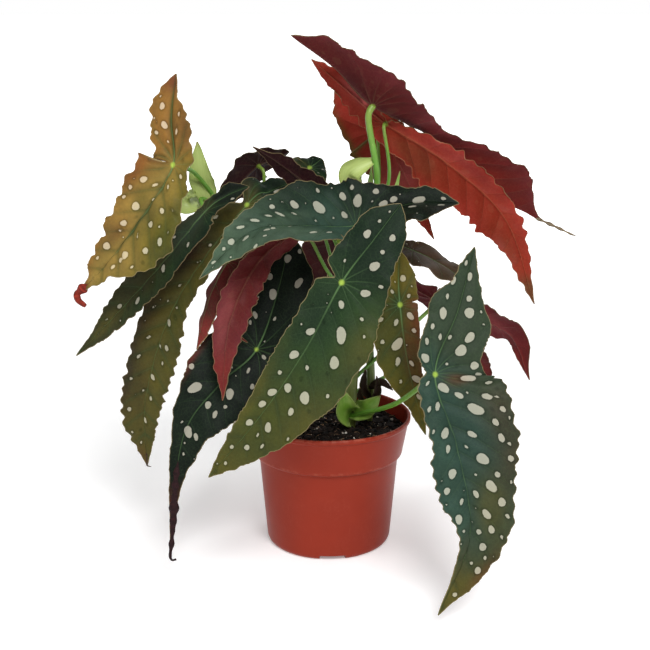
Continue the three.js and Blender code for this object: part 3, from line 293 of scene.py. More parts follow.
# Spots listed one by one: station, share across (-1 left margin, 1 right), length and width in mm.
SPOTS = {
    "leaf_gold_left": [[0.52, -0.7, 1.5, 1.3], [0.73, -0.45, 4.5, 3.2], [0.97, -0.85, 1.8, 1.6],
        [1.12, -0.3, 5, 3.6], [1.23, -0.72, 2.8, 2.4], [1.47, -0.22, 2, 1.1], [0.9, 0.55, 3.5, 1.3],
        [1.3, 0.35, 4.5, 1.5], [2.6, -0.52, 5.2, 4], [2.85, -0.75, 3.4, 2.8], [2.7, -0.78, 1.4, 1.2],
        [2.55, -0.2, 4.4, 1.8], [3.05, -0.85, 3, 2.4], [3.05, -0.35, 5.6, 4.8], [3.35, -0.42, 4.6, 3.8],
        [3.46, -0.4, 3, 1.5], [3.75, -0.5, 5.5, 4.6], [3.5, -0.15, 1, 1], [4.0, -0.55, 2.6, 2.2],
        [2.3, 0.35, 1.3, 1], [2.45, 0.28, 3.2, 1.6], [2.85, 0.4, 4.3, 2.6], [2.75, 0.7, 3.2, 1.1],
        [3.12, 0.3, 4.4, 4], [3.06, 0.55, 2, 1.5], [3.05, 0.82, 2.4, 1.5], [3.32, 0.18, 1.6, 1.4],
        [3.37, 0.22, 1.7, 1.3], [3.42, 0.58, 4.3, 3.6], [3.65, 0.3, 5.2, 4.6], [3.75, 0.32, 3.4, 2.7],
        [3.55, 0.75, 1.3, 1.3], [3.7, 0.72, 2.6, 1.6], [3.9, 0.4, 3.3, 2.2]],
    "leaf_dark_left": [[2.45, 0.05, 1.5, 1], [2.62, 0.55, 4.5, 2], [3.1, 0.3, 6, 3], [2.65, -0.4, 3, 2],
        [3.68, 0.45, 5.5, 2.6], [3.95, -0.2, 4, 3], [4.05, 0.6, 2, 1.2], [3.35, 0.35, 1, 1],
        [3.5, -0.55, 1.5, 1], [4.47, 0.1, 1.2, 1]],
    "leaf_olive_left": [[3.22, 0.12, 5.5, 2.8], [3.45, 0.42, 4.5, 2.8], [3.46, 0.08, 3.5, 1.5],
        [3.42, -0.42, 4.2, 2], [3.63, -0.6, 4.8, 2.2], [3.78, 0.15, 5, 2.5], [3.87, -0.72, 2.8, 2.3],
        [4.02, 0.3, 3.2, 2], [4.2, -0.66, 3.6, 3], [4.32, 0.1, 4.5, 1.7], [4.5, -0.65, 2.5, 2],
        [4.65, -0.3, 2.5, 1.5], [3.06, 0.2, 2.6, 1.5], [3.15, 0.4, 1.8, 1], [2.88, -0.2, 3.4, 1.8],
        [3.05, -0.3, 3.4, 1.2], [3.15, -0.65, 4, 1.5], [3.3, -0.75, 1.7, 1.3], [2.65, -0.12, 3.5, 1.4],
        [2.5, -0.15, 4, 2], [2.22, 0.1, 2, 1.6]],
    "leaf_front_high": [[0.8, -0.15, 8.5, 5], [0.36, 0.4, 5, 3.5], [0.32, -0.4, 3.5, 2.2],
        [1.22, -0.35, 5, 4.2], [1.4, -0.27, 6, 4.5], [1.42, -0.68, 4.3, 4], [1.55, -0.42, 2, 1.2],
        [1.1, -0.55, 1.2, 1.2], [1.8, -0.5, 9.5, 5.5], [1.8, -0.8, 3.5, 2.7], [2.15, -0.66, 6.2, 4.3],
        [2.37, -0.87, 1.8, 1.4], [2.65, -0.82, 3.6, 3], [2.95, -0.85, 1.6, 1.4],
        [2.65, -0.42, 10.5, 6.3], [2.18, -0.25, 5.5, 3.5], [2.4, -0.2, 2, 1.3], [2.87, -0.5, 1.2, 1.2],
        [2.72, -0.12, 2.6, 1.2], [3.07, -0.5, 6.6, 4.5], [3.3, -0.65, 2, 1.3], [3.5, -0.6, 4.2, 3],
        [3.6, -0.36, 6, 1.4], [3.38, -0.33, 7.5, 1.6], [3.1, -0.3, 5, 1.2], [3.85, -0.38, 6.5, 2],
        [4.1, -0.5, 6, 2], [4.33, -0.28, 4.5, 4], [4.47, -0.35, 2.5, 2.3], [4.7, -0.3, 3.4, 1.6],
        [4.15, 0.22, 5.5, 4], [3.8, 0.3, 5, 4], [3.66, 0.27, 6, 3], [3.95, 0.62, 2.8, 2.8],
        [3.25, 0.1, 4, 1.3], [3.0, 0.6, 6, 2.6], [2.7, 0.55, 5.5, 3], [4.75, 0.4, 1.8, 1]],
    "leaf_front_long": [[0.3, -0.3, 1.5, 1.4], [0.6, -0.3, 2.4, 2], [0.97, -0.35, 5.7, 4.3],
        [0.73, 0.5, 4.7, 3.7], [1.08, 0.45, 3, 2.8], [1.4, 0.45, 7.4, 5.2], [1.65, -0.4, 2.4, 1.4],
        [1.94, 0.53, 6.4, 4.7], [1.65, 0.8, 3.6, 2.4], [2.28, 0.2, 5.7, 3.4], [2.33, 0.65, 2.8, 2.6],
        [2.35, -0.12, 1.2, 0.9], [2.5, -0.6, 1.2, 1.2], [2.75, -0.62, 1.7, 1.4], [2.77, -0.18, 6, 4.3],
        [2.63, 0.43, 10.8, 6.2], [2.52, 0.8, 2.5, 2], [2.95, 0.55, 8.5, 5.7], [3.13, -0.27, 6.4, 5],
        [3.18, 0.2, 3.3, 2.4], [3.1, 0.55, 1.5, 1.4], [2.77, 0.87, 1, 0.9], [3.42, -0.37, 2.9, 2.6],
        [3.68, -0.2, 6.3, 4.5], [3.87, -0.28, 5, 4], [3.5, 0.5, 8.5, 5.8], [3.33, 0.8, 3, 2.4],
        [3.73, 0.48, 5.2, 3.5], [3.6, 0.75, 1.2, 1.2], [4.05, 0.35, 6.4, 4.4], [4.2, 0.3, 2.9, 1.5],
        [4.15, -0.27, 5, 4], [4.4, 0.36, 3.8, 3.6], [4.52, -0.2, 2.9, 2.6], [4.72, 0.28, 2.6, 2.2],
        [4.8, -0.4, 1.5, 1.3], [4.88, 0.3, 1.2, 1]],
    "leaf_front_right": [[0.28, -0.55, 4, 2], [0.45, 0.22, 5.5, 3], [0.6, -0.8, 5.5, 3],
        [0.77, 0.3, 4, 3.5], [0.85, -0.6, 4, 2], [1.12, -0.5, 8, 4.5], [0.97, 0.35, 7, 6],
        [0.9, 0.75, 2, 2], [1.05, 0.8, 2, 1.6], [1.27, 0.55, 8, 5], [1.5, 0.45, 8, 6.5],
        [1.65, 0.8, 5.5, 5], [1.45, -0.3, 4.5, 2.5], [1.35, -0.72, 4, 2.5], [1.55, -0.75, 4.5, 3],
        [1.8, 0.2, 2, 2], [2.12, 0.55, 9.5, 3.8], [2.4, 0.3, 6, 3.5], [2.4, 0.43, 2, 1.6],
        [2.35, 0.8, 5, 2.7], [2.55, 0.68, 7, 3.6], [2.5, 0.85, 1.3, 1.2], [2.6, 0.82, 3.4, 1.3],
        [2.75, 0.85, 4.5, 3.4], [2.85, 0.92, 2.4, 2.2], [2.65, 0.45, 11, 6], [2.85, 0.68, 5.5, 3.5],
        [3.0, 0.72, 6, 4], [3.1, 0.85, 3, 2.3], [2.9, 0.28, 6.5, 3.4], [3.02, 0.15, 3, 1.5],
        [3.2, 0.38, 9, 6], [3.4, 0.62, 4.3, 3.3], [3.27, 0.87, 4.4, 4], [3.35, 0.22, 1.8, 1.8],
        [3.5, 0.48, 8.5, 5.5], [3.5, 0.92, 2.3, 2.2], [3.55, 0.17, 5.5, 3], [3.67, 0.7, 5.5, 5],
        [3.77, 0.37, 7.5, 4], [3.8, 0.85, 3.6, 2.4], [3.92, 0.52, 5, 4], [3.95, 0.22, 3.6, 3],
        [4.1, 0.42, 5, 4.4], [4.3, 0.3, 2.2, 2], [4.2, 0.62, 2.6, 2.3], [4.35, 0.65, 4.6, 4],
        [4.7, 0.5, 3, 3], [2.15, -0.55, 4, 1.6], [2.5, -0.7, 5, 2.2], [2.45, -0.25, 6, 3],
        [2.75, -0.82, 3.6, 1.6], [2.8, -0.35, 8, 4.8], [3.0, -0.4, 5.5, 3], [3.28, -0.4, 6.5, 5],
        [3.45, -0.7, 4.5, 4], [3.6, -0.85, 1.4, 1.4], [3.6, -0.3, 4.5, 2.5], [3.8, -0.62, 6, 4.5],
        [3.95, -0.5, 2.2, 2]],
    "leaf_olive_right": [[1.03, 0.25, 4.4, 4], [1.32, 0.7, 1.6, 1.3], [1.7, 0.5, 3, 2.3],
        [2.3, -0.75, 5.4, 3.3], [2.4, -0.2, 5, 3], [2.85, -0.25, 10, 6], [2.75, -0.72, 3.6, 2.9],
        [2.65, 0.65, 3.8, 2.8], [3.2, -0.35, 6.2, 3.5], [3.3, 0.25, 5, 2.4], [3.62, -0.5, 3.4, 2],
        [3.65, 0.4, 6.5, 4.4], [4.05, 0.3, 4.5, 2.6], [2.9, 0.12, 1.2, 1]],
    "leaf_black_left": [[0.45, 0.1, 6, 5.2], [0.3, 0.75, 3.5, 2.8], [0.83, -0.4, 5, 4.4],
        [0.83, 0.57, 8, 4.5], [1.1, -0.12, 7.5, 5.3], [1.2, -0.5, 1.7, 1.5], [1.47, -0.4, 5.5, 3],
        [1.45, 0.12, 3.2, 2], [1.6, -0.45, 3.6, 2], [1.5, 0.55, 5.5, 4], [2.05, 0.25, 4, 2.6],
        [2.4, 0.2, 4.6, 2], [2.6, -0.1, 1.5, 1.3], [2.65, 0.12, 1.2, 1], [3.0, 0.35, 7.5, 5.4],
        [3.2, 0.5, 2.7, 2.6], [3.37, 0.15, 5.5, 4], [3.42, 0.48, 5.5, 3], [3.3, -0.5, 10, 6.3],
        [3.05, -0.85, 4, 4], [3.88, 0.12, 8, 5.5], [3.9, 0.5, 5, 3], [4.02, 0.15, 1.6, 1.5],
        [4.13, 0.25, 2.4, 1.8], [3.8, -0.4, 2.4, 1.3]],
}
# How much fainter the hub's pale star is, in mm of its reach.
FAINT_HUBS = {"leaf_front_high": 1.2, "leaf_brown_right": 3, "leaf_dark_left": 3,
              "leaf_black_left": 0.4, "leaf_folded_left": 3}


# ---- what a user would change -------------------------------------------------------------
def colour(name, description, default):
    """A colour setting, from display values."""
    return bpy.props.FloatVectorProperty(
        name=name, description=description, default=paint(*default),
        size=3, min=0.0, max=1.0, subtype="COLOR")


def tone(settings, key):
    """One of the colour settings, as an array."""
    return np.array(getattr(settings, key)[:])


def length(name, description, millimetres):
    """A length setting, from millimetres."""
    return bpy.props.FloatProperty(
        name=name, description=description, default=millimetres * MM,
        min=0.0, subtype="DISTANCE", unit="LENGTH", precision=4)


class PotSettings(bpy.types.PropertyGroup):
    """Sizes and colour of the nursery pot."""

    height: length("Height", "Height of the pot", 96)
    rim_radius: length("Rim radius", "Outer radius of the lip", 60)
    band_radius: length("Band radius", "Outer radius at the band's lower edge", 54.5)
    band_height: length("Band height", "Height of the rim band", 27)
    body_radius: length("Body radius", "Outer radius under the band", 51.5)
    foot_radius: length("Foot radius", "Outer radius at the foot", 45.5)
    wall: length("Wall", "Thickness of the wall", 1.8)
    plastic: colour("Plastic", "Colour of the moulded plastic", (134, 43, 26))
    scuff: colour("Scuffs", "Colour of rubbed and dusty plastic", (172, 98, 78))


class SoilSettings(bpy.types.PropertyGroup):
    """The potting soil."""

    level: length("Level", "Height of the soil's surface", 87)
    lump: length("Lumps", "Height of the soil's lumps", 1.5)
    crumbs: bpy.props.IntProperty(name="Crumbs", description="Loose crumbs", default=1100, min=0)
    fibres: bpy.props.IntProperty(name="Fibres", description="Pale fibres", default=90, min=0)
    specks: bpy.props.IntProperty(name="Specks", description="Perlite specks", default=130, min=0)
    dark: colour("Dark peat", "Colour of the wet peat", (10, 8, 7))
    brown: colour("Brown peat", "Colour of the dry crumbs", (46, 34, 27))
    fibre: colour("Fibre", "Colour of the fibres", (150, 120, 92))
    speck: colour("Perlite", "Colour of the specks", (232, 226, 214))


class StemSettings(bpy.types.PropertyGroup):
    """Canes, petioles and stipules."""

    swelling: bpy.props.FloatProperty(
        name="Joint swelling", description="How far the cane's joints swell, as a share",
        default=0.16, min=0.0, max=1.0, subtype="FACTOR")
    young: colour("Young stem", "Colour of petioles and young cane", (92, 140, 46))
    old: colour("Old cane", "Colour of the cane's older skin", (96, 110, 48))
    scar: colour("Scars", "Colour of the rings and pores", (132, 104, 70))
    flush: colour("Flush", "Reddish tinge of the stalks under a blade", (150, 86, 52))
    stipule: colour("Stipule", "Colour of the leafy stipules", (104, 148, 44))
    pale: colour("Pale stipule", "Colour of the youngest stipules", (158, 174, 98))
    sheath: colour("Sheath", "Colour of the papery old sheaths", (46, 32, 24))


class LeafSettings(bpy.types.PropertyGroup):
    """Shape details and colours of the leaves."""

    thickness: length("Thickness", "Thickness of a blade", 0.62)
    tooth: length("Teeth", "Depth of the fine teeth on the margin", 0.75)
    grid: length("Grid", "Size of a blade's facets", 1.15)
    leaf: colour("Green", "Mid green of the upper side", (34, 54, 29))
    fern: colour("Fern", "Yellower green", (60, 64, 27))
    sea: colour("Sea green", "Green with a blue cast", (38, 57, 50))
    blue: colour("Blue green", "Paler green with a blue cast", (48, 70, 60))
    # Painted sheen: a pale greyish green laid on a leaf where the sky's sheen shows.
    mist: colour("Mist", "Pale greyish green", (68, 86, 69))
    slate: colour("Slate", "Greyish green", (46, 56, 42))
    deep: colour("Deep green", "Dark green", (18, 31, 21))
    black: colour("Black green", "Near black", (10, 15, 12))
    moss: colour("Moss", "Brownish green", (76, 70, 30))
    olive: colour("Olive", "Yellow green of an ageing leaf", (94, 84, 28))
    gold: colour("Gold", "Golden brown", (124, 88, 40))
    straw: colour("Straw", "Yellowish brown", (136, 112, 54))
    bronze: colour("Bronze", "Dark brownish green", (48, 46, 24))
    rust: colour("Rust", "Reddish brown", (88, 50, 28))
    brown: colour("Brown", "Dull brown", (54, 42, 26))
    umber: colour("Umber", "Dark brown", (62, 44, 32))
    flame: colour("Flame", "Orange red of a lit under side", (118, 36, 22))
    red: colour("Red", "Red under side", (128, 38, 28))
    crimson: colour("Crimson", "Crimson under side", (104, 36, 34))
    rose: colour("Rose", "Pink of a young under side", (150, 78, 78))
    dry: colour("Dry tip", "Greyish brown of a dried tip", (112, 98, 78))
    plum: colour("Plum", "Purplish under side", (92, 36, 40))
    maroon: colour("Maroon", "Dark red under side", (76, 24, 24))
    wine: colour("Wine", "Darkest under side", (36, 13, 16))
    spot: colour("Spots", "Silvery spots", (172, 168, 152))
    vein: colour("Veins", "Veins on the upper side", (96, 128, 80))
    hub: colour("Hub", "Where the petiole meets the blade", (168, 196, 78))
    margin: colour("Margin", "The thin line round a blade", (150, 134, 96))


class StageSettings(bpy.types.PropertyGroup):
    """Floor, lights and camera."""

    floor: colour("Floor", "Colour of the floor", (244, 244, 244))
    sky: bpy.props.FloatProperty(
        name="Sky", description="Strength of the even light", default=0.5, min=0.0)
    glow: bpy.props.FloatProperty(
        name="Floor glow", description="Light that the floor adds near the plant",
        default=0.22, min=0.0, max=1.0, subtype="FACTOR")
    key: bpy.props.FloatProperty(
        name="Key light", description="Power of the large light", default=44.0, min=0.0,
        subtype="POWER", unit="POWER")
    lens: bpy.props.FloatProperty(
        name="Lens", description="Focal length in millimetres", default=66.4, min=1.0)


# ---- arithmetic for surfaces --------------------------------------------------------------
def unit(vectors):
    """Vectors divided by their lengths."""
    vectors = np.asarray(vectors, float)
    return vectors / np.maximum(np.linalg.norm(vectors, axis=-1, keepdims=True), 1e-12)


def mix(low, high, share):
    """Low where the share is 0, high where it is 1, and a straight blend between."""
    return low + (high - low) * share


def smooth(low, high, value):
    """0 below low, 1 above high, with an S-shaped rise between."""
    k = np.clip((value - low) / (high - low), 0, 1)
    return k * k * (3 - 2 * k)


def curve(points, station):
    """Points and slopes on a uniform Catmull-Rom curve whose ends are mirrored outwards."""
    points = np.asarray(points, float)
    ends = np.vstack([2 * points[0] - points[1], points, 2 * points[-1] - points[-2]])
    span = np.clip(np.floor(station).astype(int), 0, len(points) - 2)
    k = (station - span)[..., None]
    a, b, c, d = ends[span], ends[span + 1], ends[span + 2], ends[span + 3]
    square = 2 * a - 5 * b + 4 * c - d
    cube = 3 * b - a - 3 * c + d
    place = 0.5 * (2 * b + (c - a) * k + square * k ** 2 + cube * k ** 3)
    slope = 0.5 * ((c - a) + 2 * square * k + 3 * cube * k ** 2)
    return place, slope


def ripple(x, y, size, seed, waves=7):
    """Soft uneven noise, about -1 to 1: a sum of sines in seeded directions and phases."""
    draw = np.random.default_rng(seed)
    total = np.zeros(np.broadcast(x, y).shape)
    for _ in range(waves):
        turn = draw.uniform(0, 2 * np.pi)
        pace = draw.uniform(0.6, 1.7) * 2 * np.pi / size
        total += np.sin(pace * (np.cos(turn) * x + np.sin(turn) * y) + draw.uniform(0, 2 * np.pi))
    return total / math.sqrt(waves)


def grain(x, y, size, seed):
    """Value noise from 0 to 1: seeded heights on a square lattice, joined by S-shaped rises."""
    lattice = np.random.default_rng(seed).random((64, 64))
    i = np.floor(x / size).astype(int)
    j = np.floor(y / size).astype(int)
    a = smooth(0, 1, x / size - i)
    b = smooth(0, 1, y / size - j)
    corner = lambda di, dj: lattice[(i + di) % 64, (j + dj) % 64]
    return mix(mix(corner(0, 0), corner(1, 0), a), mix(corner(0, 1), corner(1, 1), a), b)


def run_along(path):
    """The length of a path up to each of its points."""
    return np.concatenate([[0], np.cumsum(np.linalg.norm(np.diff(path, axis=0), axis=1))])


def lattice_faces(rows, columns, closed=False, start=0):
    """Four-cornered faces between neighbouring points of a grid stored row by row, whose last
    column may close on the first."""
    i, j = np.meshgrid(
        np.arange(rows - 1), np.arange(columns if closed else columns - 1), indexing="ij")
    here = i * columns
    ahead = here + columns
    beside = (j + 1) % columns
    return start + np.stack([here + j, ahead + j, ahead + beside, here + beside], -1).reshape(-1, 4)


def capped_faces(rings, sides):
    """Faces of a stack of closed rings, with a fan at each end to one of the two points that
    follow the rings' own."""
    k = np.arange(sides)
    after = (k + 1) % sides
    last = (rings - 1) * sides
    low = np.stack([k, after, np.full(sides, rings * sides)], -1)
    high = np.stack([last + after, last + k, np.full(sides, rings * sides + 1)], -1)
    return lattice_faces(rings, sides, closed=True), np.vstack([low, high])


def two_sheets(top, low):
    """Points and faces of an upper and a lower sheet on one grid, joined round their border,
    and for each face whether it belongs to the lower sheet."""
    rows, columns = top.shape[:2]
    count = rows * columns
    upper = lattice_faces(rows, columns)
    lower = lattice_faces(rows, columns, start=count)[:, ::-1]
    border = np.concatenate([
        np.arange(columns), np.arange(1, rows) * columns + columns - 1,
        (rows - 1) * columns + np.arange(columns - 2, -1, -1),
        np.arange(rows - 2, 0, -1) * columns])
    after = np.roll(border, -1)
    wall = np.stack([after, border, border + count, after + count], -1)
    beneath = np.repeat([0, 1, 0], [len(upper), len(lower), len(wall)])
    points = np.vstack([top.reshape(-1, 3), low.reshape(-1, 3)])
    return points, np.vstack([upper, lower, wall]), beneath


# ---- making a piece -----------------------------------------------------------------------
def volume(points, quads, triangles):
    """Six times the signed volume inside the faces: positive where they point outwards."""
    corners = np.vstack([quads[:, [0, 1, 2]], quads[:, [0, 2, 3]], triangles])
    a, b, c = points[corners[:, 0]], points[corners[:, 1]], points[corners[:, 2]]
    return float(np.einsum("ij,ij->", a, np.cross(b, c)))


def make_piece(name, body, materials, fields=None, beneath=None, check=True):
    """A mesh object from arrays in millimetres, riding on the plant's only body.

    The body is points, quads and triangles, and may go on with the points' colours and their
    places on the flat map. Fields are vector attributes, and beneath marks the faces that take
    the second material. The check turns a body's faces outwards.
    """
    points, quads, triangles, ground, flat = [*body, None, None][:5]
    quads = np.asarray(quads, int).reshape(-1, 4)
    triangles = np.asarray(triangles, int).reshape(-1, 3)
    if check and volume(points - points.mean(0), quads, triangles) < 0:
        quads = quads[:, ::-1]
        triangles = triangles[:, ::-1]
    mesh = bpy.data.meshes.new(name)
    mesh.vertices.add(len(points))
    mesh.vertices.foreach_set("co", (np.asarray(points, float) * MM).astype(np.float32).ravel())
    corners = np.concatenate([quads.ravel(), triangles.ravel()]).astype(np.int32)
    starts = np.concatenate([
        np.arange(len(quads)) * 4, quads.size + np.arange(len(triangles)) * 3]).astype(np.int32)
    mesh.loops.add(len(corners))
    mesh.loops.foreach_set("vertex_index", corners)
    mesh.polygons.add(len(starts))
    mesh.polygons.foreach_set("loop_start", starts)
    mesh.polygons.foreach_set("use_smooth", np.ones(len(starts), bool))
    for material in materials:
        mesh.materials.append(material)
    if beneath is not None:
        mesh.polygons.foreach_set("material_index", np.asarray(beneath, np.int32))
    mesh.update(calc_edges=True)
    for key, values in (fields or {}).items():
        attribute = mesh.attributes.new(key, "FLOAT_VECTOR", "POINT")
        attribute.data.foreach_set("vector", np.asarray(values, np.float32).ravel())
    if ground is not None:
        attribute = mesh.color_attributes.new("ground", "FLOAT_COLOR", "POINT")
        full = np.ones((len(points), 4), np.float32)
        full[:, :3] = ground
        attribute.data.foreach_set("color", full.ravel())
    if flat is not None:
        layer = mesh.uv_layers.new(name="flat")
        layer.data.foreach_set("uv", np.asarray(flat, np.float32)[corners].ravel())
    mesh.validate()
    piece = bpy.data.objects.new(name, mesh)
    bpy.context.scene.collection.objects.link(piece)
    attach(piece, "root")
    return piece


def tube(path, radii, sides, squash=1.0):
    """A closed tube: circles of the given radii around the path's points, square to its slope,
    with one point at each end. Returns points, quads, triangles, turn and run of each point."""
    path = np.asarray(path, float)
    slope = unit(np.gradient(path, axis=0))
    axes = np.vstack([np.eye(3), unit([[1, 1, 0], [1, 0, 1], [0, 1, 1]])])
    best = axes[np.argmin(np.abs(slope @ axes.T).max(0))]
    across = unit(np.cross(slope, best))
    beyond = np.cross(slope, across)
    turn = np.arange(sides) / sides * 2 * np.pi
    radii = np.asarray(radii, float)[:, None, None]
    rings = path[:, None] + radii * (
        across[:, None] * np.cos(turn)[None, :, None]
        + beyond[:, None] * np.sin(turn)[None, :, None] * squash)
    points = np.vstack([rings.reshape(-1, 3), path[:1], path[-1:]])
    run = run_along(path)
    runs = np.concatenate([np.repeat(run, sides), run[:1], run[-1:]])
    turns = np.concatenate([np.tile(turn, len(path)), [0, 0]])
    return points, *capped_faces(len(path), sides), turns, runs


def joined(parts):
    """Several bodies as one: each part is points, quads, triangles and then any point data."""
    start = 0
    points, quads, triangles = [], [], []
    data = [[] for _ in parts[0][3:]]
    for part in parts:
        points.append(part[0])
        quads.append(np.asarray(part[1], int).reshape(-1, 4) + start)
        triangles.append(np.asarray(part[2], int).reshape(-1, 3) + start)
        for store, values in zip(data, part[3:]):
            store.append(values)
        start += len(part[0])
    return [np.vstack(points), np.vstack(quads), np.vstack(triangles)] + [
        np.concatenate(values) for values in data]


# ---- shader helpers -----------------------------------------------------------------------
class Nodes:
    """A short way to place nodes in a material's or a group's tree."""

    def __init__(self, tree):
        self.tree = tree
        self.count = 0

    def add(self, kind, **settings):
        node = self.tree.nodes.new(kind)
        node.location = (self.count % 8 * 190, -(self.count // 8) * 240)
        self.count += 1
        for key, value in settings.items():
            setattr(node, key, value)
        return node

    def put(self, socket, value):
        if isinstance(value, bpy.types.NodeSocket):
            self.tree.links.new(value, socket)
        elif isinstance(value, (tuple, list)) and len(value) == 3 and socket.type == "RGBA":
            socket.default_value = (*value, 1.0)
        else:
            socket.default_value = value

    def math(self, operation, first, second=0.0, third=0.0):
        node = self.add("ShaderNodeMath", operation=operation)
        self.put(node.inputs[0], first)
        self.put(node.inputs[1], second)
        self.put(node.inputs[2], third)
        return node.outputs[0]

    def times(self, first, second):
        return self.math("MULTIPLY", first, second)

    def scaled(self, value, factor, more):
        """A value times a factor, plus more."""
        return self.math("MULTIPLY_ADD", value, factor, more)

    def rise(self, value, low, high, out_low=0.0, out_high=1.0):
        """An S-shaped change from out_low at low to out_high at high."""
        node = self.add("ShaderNodeMapRange", interpolation_type="SMOOTHSTEP")
        for socket, entry in zip(node.inputs[:5], (value, low, high, out_low, out_high)):
            self.put(socket, entry)
        return node.outputs[0]

    def blend(self, share, low, high, mode="MIX"):
        node = self.add("ShaderNodeMix", data_type="RGBA", blend_type=mode)
        self.put(node.inputs[0], share)
        self.put(node.inputs[6], low)
        self.put(node.inputs[7], high)
        return node.outputs[2]

    def tinted(self, colour, factors):
        """A colour with its channels multiplied."""
        return self.blend(1.0, colour, factors, "MULTIPLY")

    def over(self, base, mask, strength, colour):
        """A base with a colour laid over it where the mask is."""
        return self.blend(self.times(mask, strength), base, colour)

    def mottled(self, base, mask, low, high, most, factors):
        """A base tinted by factors as the mask goes from low to high, by a share at most."""
        return self.blend(self.rise(mask, low, high, 0.0, most), base, self.tinted(base, factors))

    def filled(self, kind, output, values, **settings):
        """One output of a new node whose named inputs are filled."""
        node = self.add(kind, **settings)
        for key, value in values.items():
            self.put(node.inputs[key], value)
        return node.outputs[output]

    def noise(self, place, scale, detail=3.0, roughness=0.55):
        values = {"Vector": place, "Scale": scale, "Detail": detail, "Roughness": roughness}
        return self.filled("ShaderNodeTexNoise", "Fac", values)

    def cells(self, place, scale, feature="F1"):
        values = {"Vector": place, "Scale": scale}
        return self.filled("ShaderNodeTexVoronoi", "Distance", values, feature=feature)

    def stretched(self, place, scale):
        """Coordinates with their axes scaled."""
        return self.filled("ShaderNodeMapping", 0, {"Vector": place, "Scale": scale})

    def bump(self, height, strength, distance, normal=None):
        values = {"Strength": strength, "Distance": distance, "Height": height}
        if normal is not None:
            values["Normal"] = normal
        return self.filled("ShaderNodeBump", 0, values)

    def field(self, name):
        """The three numbers of a vector attribute."""
        attribute = self.add("ShaderNodeAttribute", attribute_name=name)
        split = self.add("ShaderNodeSeparateXYZ")
        self.put(split.inputs[0], attribute.outputs["Vector"])
        return split.outputs

    def ground(self):
        """The colour that each point carries."""
        return self.add("ShaderNodeAttribute", attribute_name="ground").outputs["Color"]

    def place(self):
        """Object coordinates, in metres."""
        return self.add("ShaderNodeTexCoord").outputs["Object"]

    def flat(self):
        """The blade's flat map, in millimetres."""
        return self.add("ShaderNodeUVMap", uv_map="flat").outputs[0]

    def finished(self, base, rough, normal, gloss=None):
        """The material, once colour, roughness, normal and specular level are on its shader."""
        self.put(self.shader["Base Color"], base)
        self.put(self.shader["Roughness"], rough)
        self.put(self.shader["Normal"], normal)
        if gloss is not None:
            self.shader["Specular IOR Level"].default_value = gloss
        return self.material


def new_group(name, inputs, outputs):
    """A shader group of number sockets: inputs with their defaults, and outputs."""
    tree = bpy.data.node_groups.new(name, "ShaderNodeTree")
    for label, default in inputs.items():
        socket = tree.interface.new_socket(label, in_out="INPUT", socket_type="NodeSocketFloat")
        socket.default_value = default
    for label in outputs:
        tree.interface.new_socket(label, in_out="OUTPUT", socket_type="NodeSocketFloat")
    n = Nodes(tree)
    return n, n.add("NodeGroupInput").outputs, n.add("NodeGroupOutput").inputs


def use_group(n, name, **values):
    """Places a group and sets its inputs; underscores stand for spaces."""
    node = n.add("ShaderNodeGroup", node_tree=bpy.data.node_groups[name])
    for key, value in values.items():
        n.put(node.inputs[key.replace("_", " ").capitalize()], value)
    return node.outputs


def new_material(name):
    """A helper for a new material's tree, which also holds the material and its shader."""
    material = bpy.data.materials.new(name)
    material.use_nodes = True
    n = Nodes(material.node_tree)
    n.material = material
    n.shader = next(node for node in n.tree.nodes if node.type == "BSDF_PRINCIPLED").inputs
    return n


